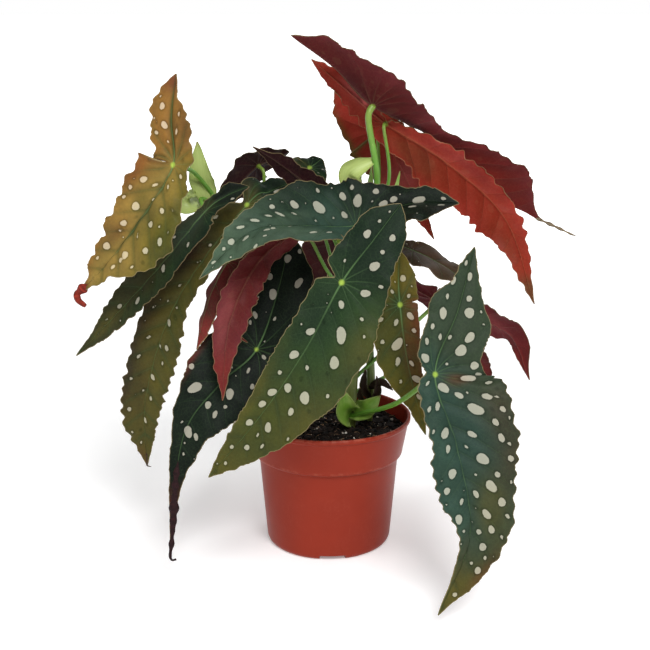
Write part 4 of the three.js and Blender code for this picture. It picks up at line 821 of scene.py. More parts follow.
def build_groups():
    """The effects that several materials share."""
    if "Leaf markings" in bpy.data.node_groups:
        return
    n, _, out = new_group("Leaf markings", {}, [
        "Spots", "Ring", "Veins", "Rib", "Margin", "Hub", "Near hub", "Quilt"])
    spot, edge, rib = n.field("marks")
    phase, gap, hub = n.field("veins")
    ragged = n.scaled(n.noise(n.flat(), 0.9, 2.0), 0.5, -0.25)
    n.put(out["Spots"], n.rise(n.math("ADD", spot, ragged), 0.14, -0.14))
    n.put(out["Ring"], n.times(n.rise(spot, 1.5, 0.2), n.rise(spot, -0.1, 0.2)))
    near = n.math("ABSOLUTE", n.math("SUBTRACT", n.math("FRACT", n.math("ADD", phase, 0.5)), 0.5))
    away = n.times(near, gap)
    thin = n.rise(edge, 0.0, 14.0, 0.22, 0.6)
    n.put(out["Veins"], n.math("SUBTRACT", 1.0, n.rise(away, n.times(thin, 0.35), thin)))
    n.put(out["Rib"], n.rise(rib, 0.8, 0.3))
    n.put(out["Margin"], n.rise(edge, 0.6, 0.25))
    n.put(out["Hub"], n.rise(hub, 2.7, 0.7))
    n.put(out["Near hub"], n.rise(hub, 26.0, 2.0))
    n.put(out["Quilt"], n.math("SINE", n.times(near, math.pi)))

    n, given, out = new_group("Leaf skin", {"Cell size": 1.1}, ["Cloud", "Fleck", "Net", "Height"])
    flat = n.flat()
    fleck = n.noise(flat, 0.55, 3.0, 0.6)
    net = n.cells(flat, n.math("DIVIDE", 0.42, given["Cell size"]), "DISTANCE_TO_EDGE")
    pores = n.cells(flat, n.math("DIVIDE", 2.2, given["Cell size"]))
    n.put(out["Cloud"], n.noise(flat, 0.045, 3.0))
    n.put(out["Fleck"], fleck)
    n.put(out["Net"], n.rise(net, 0.07, 0.0))
    n.put(out["Height"], n.scaled(pores, -0.45, n.times(fleck, 0.5)))

    n, given, out = new_group("Dust", {"Amount": 0.4, "Size": 60.0}, ["Dust", "Scratch"])
    place = n.place()
    cloud = n.noise(place, given["Size"], 4.0, 0.65)
    fine = n.noise(place, n.times(given["Size"], 14.0), 3.0, 0.7)
    both = n.times(n.rise(cloud, 0.42, 0.72), n.rise(fine, 0.4, 0.75))
    n.put(out["Dust"], n.times(both, given["Amount"]))
    scratch = n.noise(n.stretched(place, (700, 700, 40)), 1.0, 2.0, 0.5)
    n.put(out["Scratch"], n.times(n.rise(scratch, 0.66, 0.74), given["Amount"]))


# ---- leaf materials -----------------------------------------------------------------------
def leaf_top_material(s):
    """The upper side: tinted ground, silvery spots, veins, pale margin and a satin skin."""
    n = new_material("Leaf upper side")
    ground = n.ground()
    marks = use_group(n, "Leaf markings")
    skin = use_group(n, "Leaf skin", cell_size=1.0)
    near = marks["Near hub"]
    base = n.blend(n.rise(skin["Cloud"], 0.3, 0.7, 0.0, 0.34), ground, (0.012, 0.02, 0.012))
    base = n.mottled(base, skin["Fleck"], 0.3, 0.75, 0.3, (1.55, 1.5, 1.4))
    base = n.over(base, skin["Net"], 0.05, s.vein[:])
    base = n.over(base, marks["Veins"], n.scaled(near, 0.13, 0.04), s.vein[:])
    base = n.over(base, marks["Ring"], 0.55, n.tinted(base, (0.4, 0.45, 0.4)))
    base = n.over(base, marks["Rib"], n.scaled(near, 0.3, 0.2), s.vein[:])
    mottle = n.noise(n.flat(), 1.9, 3.0, 0.7)
    tint = n.blend(0.28, s.spot[:], n.tinted(ground, (3.2, 3.2, 3.2)))
    spot = n.blend(n.rise(mottle, 0.35, 0.7, 0.0, 0.45), tint, n.blend(0.55, ground, s.spot[:]))
    base = n.over(base, marks["Spots"], 0.95, spot)
    base = n.over(base, marks["Hub"], 0.75, s.hub[:])
    base = n.over(base, marks["Margin"], 0.5, s.margin[:])
    rough = n.scaled(marks["Spots"], 0.08, n.scaled(skin["Cloud"], 0.16, 0.4))
    grooves = n.scaled(marks["Veins"], -0.3, n.times(marks["Quilt"], 0.35))
    grooves = n.scaled(marks["Rib"], -0.7, grooves)
    coarse = n.bump(n.scaled(marks["Spots"], 0.25, grooves), 0.55, 0.0005)
    return n.finished(base, rough, n.bump(skin["Height"], 0.3, 0.00022, coarse), 0.06)


def leaf_under_material(s):
    """The under side: red, with raised paler veins and a soft bloom."""
    n = new_material("Leaf under side")
    ground = n.ground()
    marks = use_group(n, "Leaf markings")
    skin = use_group(n, "Leaf skin", cell_size=1.3)
    base = n.mottled(ground, skin["Cloud"], 0.3, 0.7, 0.3, (0.5, 0.42, 0.45))
    base = n.mottled(base, skin["Fleck"], 0.3, 0.75, 0.35, (1.4, 1.3, 1.25))
    vein = n.blend(0.35, n.tinted(ground, (1.7, 1.9, 1.8)), s.margin[:])
    base = n.over(base, skin["Net"], 0.08, vein)
    base = n.over(base, marks["Veins"], n.scaled(marks["Near hub"], 0.14, 0.05), vein)
    base = n.over(base, marks["Rib"], 0.2, vein)
    for key, strength, shade in [
            ("Spots", 0.03, s.margin), ("Hub", 0.4, s.hub), ("Margin", 0.3, s.margin)]:
        base = n.over(base, marks[key], strength, shade[:])
    ridges = n.scaled(marks["Veins"], 0.7, n.times(marks["Quilt"], -0.5))
    coarse = n.bump(n.scaled(marks["Rib"], 0.8, ridges), 0.65, 0.0006)
    rough = n.scaled(skin["Cloud"], 0.18, 0.4)
    return n.finished(base, rough, n.bump(skin["Height"], 0.35, 0.0003, coarse), 0.08)


def dry_material(name):
    """Dried leaf or sheath: a colour attribute with noise wrinkles and a dull skin."""
    n = new_material(name)
    wrinkle = n.noise(n.flat(), 1.1, 3.0, 0.65)
    base = n.mottled(n.ground(), wrinkle, 0.35, 0.7, 0.5, (0.45, 0.42, 0.4))
    return n.finished(base, n.scaled(wrinkle, 0.2, 0.5), n.bump(wrinkle, 0.6, 0.0005), 0.15)


# ---- the blades ---------------------------------------------------------------------------
class Blade:
    """An angel-wing blade as a function of station (0 to 5) along its midrib and of the share
    across it (-1 left margin, 1 right margin).

    A point is the midrib's point, plus the flat reach to the side, plus the rise from the
    side's fold and bend, plus a wave that grows towards the margin, plus the shoulders' slip
    along the midrib beside the sinus.
    """

    def __init__(self, row, seed, tooth=0.0, ragged=0.0):
        _, spine, facing, right, left, self.sinus, bends, self.waves = row
        self.spine = np.array(spine, float)
        self.facing = unit(np.broadcast_to(facing, (3, 3)))
        self.widths = {1: right, -1: left}
        self.bends = np.radians(bends)
        self.seed, self.tooth, self.ragged = seed, tooth, ragged
        self.stations = np.linspace(0, END, 401)
        self.run = run_along(curve(self.spine, self.stations)[0])
        self.hub_run = float(np.interp(HUB, self.stations, self.run))

    def frame(self, station):
        """The midrib's point, its direction, the upper side's and the one to the right."""
        place, slope = curve(self.spine, station)
        ahead = unit(slope)
        back = (station < HUB)[..., None]
        share = np.where(station < HUB, station / HUB, (station - HUB) / (END - HUB))[..., None]
        first, middle, last = self.facing
        facing = np.where(back, mix(first, middle, share), mix(middle, last, share))
        up = unit(facing - (facing * ahead).sum(-1, keepdims=True) * ahead)
        return place, ahead, up, np.cross(up, ahead)

    def half_width(self, station, side):
        """A smooth curve through the listed half widths, cut in by the sinus on its side."""
        knots = np.array([LEAST_HALF, *self.widths[side], LEAST_HALF])
        slopes = np.empty(11)
        slopes[1:-1] = knots[2:] - knots[:-2]
        blunt_back, blunt_tip, sinus_spread = 2.8, 2.2, 0.16
        slopes[0] = (knots[1] - knots[0]) * blunt_back
        slopes[-1] = (knots[-1] - knots[-2]) * blunt_tip
        i = np.clip(np.floor(station * 2).astype(int), 0, 9)
        k = station * 2 - i
        width = ((2 * k ** 3 - 3 * k ** 2 + 1) * knots[i]
                 + (k ** 3 - 2 * k ** 2 + k) * 0.5 * slopes[i]
                 + (3 * k ** 2 - 2 * k ** 3) * knots[i + 1]
                 + (k ** 3 - k ** 2) * 0.5 * slopes[i + 1])
        own, centre, depth = self.sinus
        if side == own:
            width = width * (1 - depth * np.exp(-((station - centre) / sinus_spread) ** 2))
        return np.maximum(width, LEAST_HALF)

    def outline(self, station, side):
        """The half width with seeded lobes and fine forward-pointing teeth."""
        half = self.half_width(station, side)
        run = np.interp(station, self.stations, self.run)
        lobes = ripple(run, side * 40.0, 26.0, self.seed + 3, 4) * 0.028
        broad = np.clip(half / 9, 0, 1)
        bites = self.ragged * ripple(run, side * 60.0, 11.0, self.seed + 7, 5) * broad
        pitch, rising, falling = 4.8, 0.78, 0.22
        pace = run / pitch + 1.3 * ripple(run, side * 9.0, 14.0, self.seed + 4, 5)
        saw = pace - np.floor(pace)
        tooth = np.where(saw < rising, saw / rising, (1 - saw) / falling) - 0.5
        uneven = 0.7 + 0.8 * ripple(run, side * 20.0, 13.0, self.seed + 5, 5)
        depth = self.tooth * broad * uneven
        return np.maximum(half * (1 + lobes) + bites + tooth * depth, LEAST_HALF)

    def surface(self, station, across):
        """Points of the middle sheet, with the half width there."""
        place, ahead, up, right = self.frame(station)
        side = np.where(across >= 0, 1, -1)
        share = np.abs(across)
        own = lambda first, second: np.where(side > 0, first, second)
        half = own(self.outline(station, 1), self.outline(station, -1))
        plain = own(self.half_width(station, 1), self.half_width(station, -1))
        reach = plain * share + (half - plain) * share ** 6
        fold = own(*self.bends[:2])
        bend = own(*self.bends[2:]) * share
        bend = np.where(np.abs(bend) < 1e-6, 1e-6, bend)
        flat = reach * (np.sin(fold + bend) - np.sin(fold)) / bend
        rise = reach * (np.cos(fold) - np.cos(fold + bend)) / bend
        swing = 2 * np.pi * station / END * self.waves[1] + 0.7 * side
        wave = self.waves[0] * np.sin(swing) * share ** 2.5 * np.minimum(1, plain / 15)
        run = np.interp(station, self.stations, self.run)
        ruffle = ripple(run, side * 30.0, 15.0, self.seed + 6, 5)
        wave = wave + 0.7 * ruffle * share ** 4 * np.minimum(1, plain / 12)
        off = station - self.sinus[1]
        furthest = 7
        slip = furthest * share ** 2 * (
            0.6 * np.exp(-((off + 0.4) / 0.3) ** 2) - np.exp(-((off - 0.35) / 0.3) ** 2))
        slip = np.where(side == self.sinus[0], slip, 0)
        point = (place + right * (side * flat)[..., None] + up * (rise + wave)[..., None]
                 + ahead * slip[..., None])
        return point, half, reach

    def vein_field(self, run, reach):
        """A smooth field whose whole numbers are the side veins, and the distance in mm that
        one step of it spans. Ahead of the first side vein it is the run where a forward
        curving line through the point leaves the midrib, divided by the veins' spacing.
        Behind it, it is the angle round the hub divided by an even share of the rest."""
        slant, bow = 0.8, 0.006
        spacing = 17.0
        start = run - slant * reach - bow * reach ** 2
        first = math.atan2(1, slant)
        fan = (math.pi - first) / 5
        angle = np.arctan2(reach, run - bow * reach ** 2)
        ahead = start >= 0
        field = np.where(ahead, start / spacing, -(angle - first) / fan)
        tilt = np.sqrt(1 + (slant + 2 * bow * reach) ** 2)
        radius = np.hypot(run, reach)
        return field, np.where(ahead, spacing / tilt, fan * radius)


def scatter_spots(blade, placed, size, density, seed):
    """Spots as station, share across, half length, half width and turn. The listed ones come
    first. The rest are thrown by darts, the largest first, each clear of the others, of the
    veins and of the margin. A spot leans towards the side vein that passes it."""
    draw = np.random.default_rng(seed)
    darts = 2600
    stations = np.concatenate([placed[:, 0], draw.uniform(0.12, 4.9, darts)])
    across = np.concatenate([placed[:, 1], draw.uniform(-0.93, 0.93, darts)])
    side = np.where(across >= 0, 1, -1)
    half = np.where(side > 0, blade.half_width(stations, 1), blade.half_width(stations, -1))
    widest = max(max(blade.widths[1]), max(blade.widths[-1]))
    run = np.interp(stations, blade.stations, blade.run) - blade.hub_run
    reach = half * np.abs(across)
    field, gap = blade.vein_field(run, reach)
    off_vein = np.abs(field - np.round(field)) * gap
    turn = side * np.where(field >= 0, 0.6, np.arctan2(reach, run))
    turn = turn + draw.uniform(-0.25, 0.25, len(stations))
    signed = reach * side
    chosen = [(i, placed[i, 2] / 2, placed[i, 3] / 2) for i in range(len(placed))]
    free = [i for i in range(len(placed), len(stations)) if draw.random() < half[i] / widest]
    both = blade.half_width(blade.stations, 1) + blade.half_width(blade.stations, -1)
    total = float((both * np.gradient(blade.run)).sum()) / 10000 * density
    for share, low, high in [(0.22, 2.8, 4.2), (0.4, 1.4, 2.4), (1.1, 0.4, 0.9)]:
        wanted = int(round(total * share))
        for i in free:
            if wanted <= 0:
                break
            radius = draw.uniform(low, high) * size
            if radius > 1.4 and (half[i] - reach[i] < radius * 1.15 or reach[i] < radius * 0.9):
                continue
            if half[i] - reach[i] < radius or off_vein[i] < radius * 0.55 and radius > 1.5:
                continue
            if abs(run[i]) < 7 and reach[i] < 7:
                continue
            if all(math.hypot(run[i] - run[k], signed[i] - signed[k]) > 1.4 * (radius + r) + 1.5
                   for k, r, _ in chosen):
                chosen.append((i, radius, radius * draw.uniform(0.5, 0.8)))
                wanted -= 1
    return np.array([(stations[i], across[i], r, wide, turn[i]) for i, r, wide in chosen])


def spot_distance(blade, points, spots, seed):
    """The signed distance in mm to the nearest spot's edge, negative inside. A spot is an
    ellipse with its long axis turned about the sheet's own direction, its edge slightly
    lobed; the distance is the ellipse's stretched radius less one, times its half width."""
    draw = np.random.default_rng(seed + 9)
    nearest = np.full(len(points), 3.0)
    step = 0.01
    centre, _, _ = blade.surface(spots[:, 0], spots[:, 1])
    ahead, _, _ = blade.surface(np.clip(spots[:, 0] + step, 0, END), spots[:, 1])
    beside, _, _ = blade.surface(spots[:, 0], spots[:, 1] + step)
    along = unit(ahead - centre)
    over = unit(beside - centre)
    over = unit(over - (over * along).sum(-1, keepdims=True) * along)
    upward = np.cross(along, over)
    for k in range(len(spots)):
        long, wide, turn = spots[k, 2:5]
        offset = points - centre[k]
        near = np.abs(offset).max(1) < long + 4
        offset = offset[near]
        a = offset @ (along[k] * math.cos(turn) + over[k] * math.sin(turn))
        b = offset @ (over[k] * math.cos(turn) - along[k] * math.sin(turn))
        c = offset @ upward[k]
        angle = np.arctan2(b, a)
        lobe = (1 + 0.04 * np.sin(2 * angle + draw.uniform(0, 6))
                + 0.05 * np.sin(3 * angle + draw.uniform(0, 6)))
        stretched = np.sqrt((a / long) ** 2 + (b / wide) ** 2 + (c / long) ** 2) / lobe
        nearest[near] = np.minimum(nearest[near], (stretched - 1) * wide)
    return nearest


def leaf_piece(row, index, s, materials):
    """One leaf: an upper and an under sheet on the same grid, joined by a thin margin."""
    name = row[0]
    words, tip_from, spot_size, density, quilt, ragged = LOOKS[name]
    slot, centre, right, left, lobe, tip, under, under_edge, under_tip = words.split()
    blade = Blade(row, 100 + 10 * index, s.tooth / MM, ragged)
    facet = s.grid / MM
    rows = int(blade.run[-1] / facet) + 1
    widest = max(blade.widths[1]) + max(blade.widths[-1])
    columns = 2 * int(widest / facet / 2 + 4) + 1
    spread = np.linspace(-1, 1, columns)
    spread = spread * (0.6 + 0.4 * np.abs(spread))
    station, across = np.meshgrid(np.linspace(0, END, rows), spread, indexing="ij")
    middle, half, reach = blade.surface(station, across)
    normal = unit(np.cross(np.gradient(middle, axis=0), np.gradient(middle, axis=1)))
    up = blade.frame(station)[2]
    normal = np.where((normal * up).sum(-1, keepdims=True) < 0.2, up, normal)

    side = np.where(across >= 0, 1, -1)
    share = np.abs(across)
    run = np.interp(station, blade.stations, blade.run) - blade.hub_run
    field, gap = blade.vein_field(run, reach)
    slope = np.gradient(half, axis=0) / np.gradient(run, axis=0)
    ends = np.minimum(run - run[0, 0], run[-1, 0] - run)
    edge = np.minimum((half - reach) / np.sqrt(1 + slope ** 2), ends + 0.2)
    hub = np.hypot(run, reach)
    rib_half = mix(1.15, 0.35, smooth(0, 1, np.where(run > 0, run / run[-1, 0], run / run[0, 0])))
    off_vein = np.abs(field - np.round(field))
    beside = off_vein * gap

    puff = quilt * np.sin(np.pi * off_vein) ** 2
    puff = puff * smooth(0, 7, edge) * smooth(3, 14, hub)
    keel = 0.55 * rib_half * np.exp(-(reach / rib_half / 1.2) ** 2)
    crest = 0.25 * np.exp(-(beside / 0.9) ** 2) * smooth(0, 9, edge)
    thick = s.thickness / MM * mix(0.6, 1.0, smooth(0, 3, edge)) / 2
    top = middle + normal * (thick + puff - 0.2 * np.exp(-(reach / rib_half) ** 2))[..., None]
    low = middle - normal * (thick - puff * 0.85 + keel + crest)[..., None]

    points, quads, beneath = two_sheets(top, low)

    placed = np.array(SPOTS.get(name, []), float).reshape(-1, 4)
    spots = scatter_spots(blade, placed, spot_size, density, 500 + index)
    spot = spot_distance(blade, middle.reshape(-1, 3), spots, 700 + index)
    twice = lambda *values: np.tile(np.stack([v.ravel() for v in values], -1), (2, 1))
    fields = {"marks": twice(spot, edge, reach / rib_half),
              "veins": twice(field, gap, hub + FAINT_HUBS.get(name, 0))}

    shade = lambda key: tone(s, key)
    patch = ripple(run, side * reach, 70.0, 900 + index)
    outward = np.clip(share ** 1.3 + 0.25 * patch, 0, 1)[..., None]
    rim = mix(shade(left), shade(right), smooth(-0.2, 0.2, across)[..., None])
    tint = mix(shade(centre), rim, outward)
    tint = mix(tint, shade(lobe), smooth(2.1, 1.4, station + 0.15 * patch)[..., None])
    to_tip = smooth(tip_from, tip_from + 0.7 * (END - tip_from), station + 0.1 * patch)[..., None]
    tint = mix(tint, shade(tip), to_tip)
    below = mix(shade(under), shade(under_edge), np.clip(share ** 2 + 0.3 * patch, 0, 1)[..., None])
    below = mix(below, shade(under_tip), to_tip)
    key, strength = TINTED_VEINS.get(name, ["deep", 0.25])
    streak = strength * np.exp(-(beside / 1.4) ** 2) * (1 - 0.5 * share) * smooth(2, 9, hub)
    tint = mix(tint, shade(key), streak[..., None])
    for at, aside, long, wide, key, strength in BLOTCHES.get(name, []):
        blotch = np.exp(-((station - at) / long) ** 2 - ((across - aside) / wide) ** 2)
        blotch = strength * np.clip(blotch * (1 + 0.5 * patch), 0, 1)[..., None]
        if slot == "leaf_red":
            below = mix(below, shade(key), blotch)
        else:
            tint = mix(tint, shade(key), blotch)
    ground = np.vstack([tint.reshape(-1, 3), below.reshape(-1, 3)])
    body = [points, quads, [], ground, twice(run, side * reach)]
    piece = make_piece(name.replace("leaf_", "blade_"), body, materials, fields, beneath)
    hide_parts(name)


def curl_parts(s):
    """The curled and dried tips: flattened tubes that follow the last of the midrib and turn
    away beyond it, narrowing in an uneven way."""
    parts = []
    rows = {row[0]: row for row in LEAVES}
    for k, (name, start, radius, key, corners) in enumerate(CURLS):
        spine = Blade(rows[name], 0).spine
        along, _ = curve(spine, np.linspace(start, END, 7))
        way = np.vstack([along, along[-1] + np.array(corners, float).reshape(-1, 3)])
        path, run = even_path(way, 0.6)
        share = run / run[-1]
        bumps = 1 + 0.3 * ripple(run, 0 * run, 14.0, 60 + k, 4)
        radii = radius * smooth(0, 0.25, share + 0.06) * (1.05 - share) ** 0.45 * bumps
        points, quads, triangles, turns, runs = tube(path, radii, 12, 0.55)
        patch = ripple(runs, turns * 2, 4.0, 80 + k)[:, None]
        shade = tone(s, key) * (1 + 0.35 * patch)
        flat = np.stack([runs, turns * radius], -1)
        parts.append([points, quads, triangles, np.clip(shade, 0, 1), flat])
    return joined(parts)


# ---- the pot ------------------------------------------------------------------------------
def rounded(corners, radius, steps=4):
    """A profile with each corner replaced by a short curve: from a point before the corner to
    one after it, bent towards the corner (a quadratic curve)."""
    corners = np.asarray(corners, float)
    out = [corners[:1]]
    k = np.linspace(0, 1, steps)[:, None]
    for before, corner, after in zip(corners[:-2], corners[1:-1], corners[2:]):
        near = corner + unit(before - corner) * min(radius, np.linalg.norm(before - corner) * 0.4)
        far = corner + unit(after - corner) * min(radius, np.linalg.norm(after - corner) * 0.4)
        out.append((1 - k) ** 2 * near + 2 * k * (1 - k) * corner + k ** 2 * far)
    out.append(corners[-1:])
    return np.vstack(out)


def resampled(profile, longest):
    """A profile with points added so that no step is longer than the given one."""
    parts = [profile[:1]]
    for a, b in zip(profile[:-1], profile[1:]):
        count = max(1, int(np.ceil(np.linalg.norm(b - a) / longest)))
        parts.append(a + (b - a) * (np.arange(1, count + 1) / count)[:, None])
    return np.vstack(parts)


def plastic_material(s):
    """Satin moulded plastic, rubbed at the lip and foot, with faint dust and scratches."""
    n = new_material("Terracotta plastic")
    dust = use_group(n, "Dust", amount=0.2, size=38.0)
    place = n.place()
    cloud = n.noise(place, 22.0, 3.0)
    wear, drain, _ = n.field("wear")
    grit = n.rise(n.noise(place, 240.0, 4.0, 0.7), 0.42, 0.62)
    base = n.mottled(s.plastic[:], cloud, 0.35, 0.65, 0.35, (0.78, 0.72, 0.72))
    base = n.over(base, n.times(wear, grit), 0.5, s.scuff[:])
    base = n.over(base, dust["Dust"], 0.6, s.scuff[:])
    base = n.over(base, dust["Scratch"], 0.4, s.scuff[:])
    base = n.blend(n.rise(drain, 0.4, 0.6), base, (0.01, 0.008, 0.007))
    rough = n.scaled(dust["Dust"], 0.5, n.scaled(cloud, 0.12, 0.3))
    coarse = n.times(n.noise(place, 60.0, 2.0), 1.6)
    skin = n.scaled(n.noise(place, 2600.0, 2.0, 0.5), 0.5, coarse)
    return n.finished(base, rough, n.bump(skin, 0.22, 0.0003), 0.12)


class BEGONIA_OT_pot(bpy.types.Operator):
    """Turn the pot: a profile carried round the vertical axis, its foot ring notched and its
    floor's under side dented at each drain hole, by raising the points inside each notch and hole."""

    bl_idname = "begonia.pot"
    bl_label = "Pot"

    def execute(self, context):
        s = context.scene.begonia_pot
        build_groups()
        height, rim = s.height / MM, s.rim_radius / MM
        band, shoulder = s.band_radius / MM, s.body_radius / MM
        foot, wall = s.foot_radius / MM, s.wall / MM
        neck = height - s.band_height / MM
        outside = [
            [38.6, 3.6], [39, 0.4], [39.6, 0], [foot - 3, 0], [foot - 1, 0.9], [foot, 3.2],
            [shoulder - 0.3, neck - 2.6], [shoulder + 0.9, neck - 1.9], [band - 0.6, neck - 1.2],
            [band, neck + 0.2], [band + 0.1, neck + 1.4],
            [rim - 1.5, height - 4.4], [rim - 0.9, height - 3.5], [rim, height - 3.0],
            [rim, height - 0.9], [rim - 0.7, height], [rim - 1.7, height],
            [rim - 2.5, height - 0.8], [rim - 3.0, height - 4],
            [band - wall, neck + 1], [shoulder - wall, neck - 3],
            [foot - wall, 9], [foot - wall - 2.5, 6]]
        shell = resampled(rounded(outside, 0.55), 3.0)
        under, over = 3.6, 6.0
        rings = 60
        floor_under = np.stack([np.linspace(0.6, 38.2, rings), np.full(rings, under)], -1)
        floor_top = np.stack([np.linspace(foot - wall - 3, 0.6, 16), np.full(16, over)], -1)
        profile = np.vstack([floor_under, shell, floor_top])
        sides = 288
        turn = np.arange(sides) / sides * 2 * np.pi
        radius = np.repeat(profile[:, :1], sides, 1)
        level = np.repeat(profile[:, 1:], sides, 1)
        angle = np.repeat(turn[None], len(profile), 0)
        order = np.arange(len(profile))[:, None]

        notches = np.radians([-86, 4, 94, 184])
        apart = np.abs((angle[..., None] - notches + np.pi) % (2 * np.pi) - np.pi).min(-1)
        notch_height, half_angle = 3.4, 0.214
        depth = notch_height * np.clip((half_angle - apart) / 0.012, 0, 1)
        ring = (radius > 38.4) & (order < rings + len(shell) // 2)
        level = np.where(ring, np.maximum(level, depth), level)

        x, y = radius * np.cos(angle), radius * np.sin(angle)
        holes = np.radians(np.arange(6) * 60)
        circle, hole = 28, 4.9
        hole_x, hole_y = circle * np.cos(holes), circle * np.sin(holes)
        away = np.hypot(x[..., None] - hole_x, y[..., None] - hole_y).min(-1)
        drain = np.where(order < rings, np.clip(hole - away, 0, 1), 0)
        level = level + 2.1 * drain

        warp = 0.22 * ripple(angle * 8, level * 0.05, 9.0, 41, 4) * smooth(6, 30, radius)
        x, y = (radius + warp) * np.cos(angle), (radius + warp) * np.sin(angle)
        points = np.stack([x, y, level], -1).reshape(-1, 3)
        points = np.vstack([points, [[0, 0, under], [0, 0, over]]])
        lip = np.exp(-((level - height) / 1.4) ** 2) + np.exp(-(level / 1.6) ** 2)
        step = np.exp(-((level - neck) / 1.2) ** 2)
        wear = np.stack([np.clip(lip + 0.6 * step, 0, 1), drain, 0 * drain], -1).reshape(-1, 3)
        wear = np.vstack([wear, np.zeros((2, 3))])
        body = [points, *capped_faces(len(profile), sides)]
        piece = make_piece("nursery_pot", body, [plastic_material(s)], {"wear": wear})
        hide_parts("pot")
        return {"FINISHED"}


# ---- the soil -----------------------------------------------------------------------------
def soil_height(x, y, s):
    """The soil's surface: its level, sunk a little at the wall, plus three sizes of noise."""
    lump = s.lump / MM
    level = s.level / MM - 2.2 * smooth(44, 57, np.hypot(x, y))
    level = level + lump * (1.1 * grain(x + 99, y + 57, 9.0, 3) - 0.5)
    level = level + lump * 0.8 * (grain(x + 31, y + 13, 3.2, 4) - 0.5)
    return level + lump * 0.6 * (grain(x + 7, y + 3, 1.3, 5) - 0.5)


def lump_template():
    """A small ball of 18 points and 32 faces: an octahedron split once, as points and faces."""
    corners = np.array([[1, 0, 0], [-1, 0, 0], [0, 1, 0], [0, -1, 0], [0, 0, 1], [0, 0, -1]], float)
    eight = [[0, 2, 4], [2, 1, 4], [1, 3, 4], [3, 0, 4], [2, 0, 5], [1, 2, 5], [3, 1, 5], [0, 3, 5]]
    points = [tuple(c) for c in corners]
    faces = []
    for a, b, c in eight:
        halves = []
        for p, q in ((a, b), (b, c), (c, a)):
            middle = tuple(np.round(unit(corners[p] + corners[q]), 5))
            if middle not in points:
                points.append(middle)
            halves.append(points.index(middle))
        d, e, f = halves
        faces += [[a, d, f], [d, b, e], [f, e, c], [d, e, f]]
    return np.array(points), np.array(faces)


def lumps(centres, sizes, draw, flatness):
    """Copies of the small ball, each with its own stretch, turn and dents: a body."""
    ball, faces = lump_template()
    count = len(centres)
    stretch = draw.uniform(0.6, 1.25, (count, 1, 3)) * sizes[:, None, None]
    stretch[..., 2] *= flatness
    shape = ball[None] * stretch * draw.uniform(0.8, 1.12, (count, len(ball), 1))
    turn = draw.uniform(0, 2 * np.pi, (count, 1))
    x = shape[..., 0] * np.cos(turn) - shape[..., 1] * np.sin(turn)
    y = shape[..., 0] * np.sin(turn) + shape[..., 1] * np.cos(turn)
    points = np.stack([x, y, shape[..., 2]], -1) + centres[:, None]
    every = faces[None] + (np.arange(count) * len(ball))[:, None, None]
    return points.reshape(-1, 3), [], every.reshape(-1, 3)


def peat_material(name, low, high, size):
    """Crumbly peat: dark and brown grains, rough, with a strong fine bump."""
    n = new_material(name)
    place = n.place()
    clod = n.noise(place, 160.0, 4.0, 0.65)
    fine = n.noise(place, size, 3.0, 0.7)
    cell = n.cells(place, 900.0)
    base = n.blend(n.rise(clod, 0.38, 0.66), low, high)
    base = n.mottled(base, fine, 0.3, 0.7, 0.6, (0.4, 0.4, 0.4))
    base = n.mottled(base, cell, 0.06, 0.0, 0.5, (2.6, 2.3, 2.0))
    bump = n.bump(n.scaled(cell, 0.7, fine), 0.8, 0.0008)
    return n.finished(base, n.scaled(fine, 0.3, 0.62), bump, 0.15)


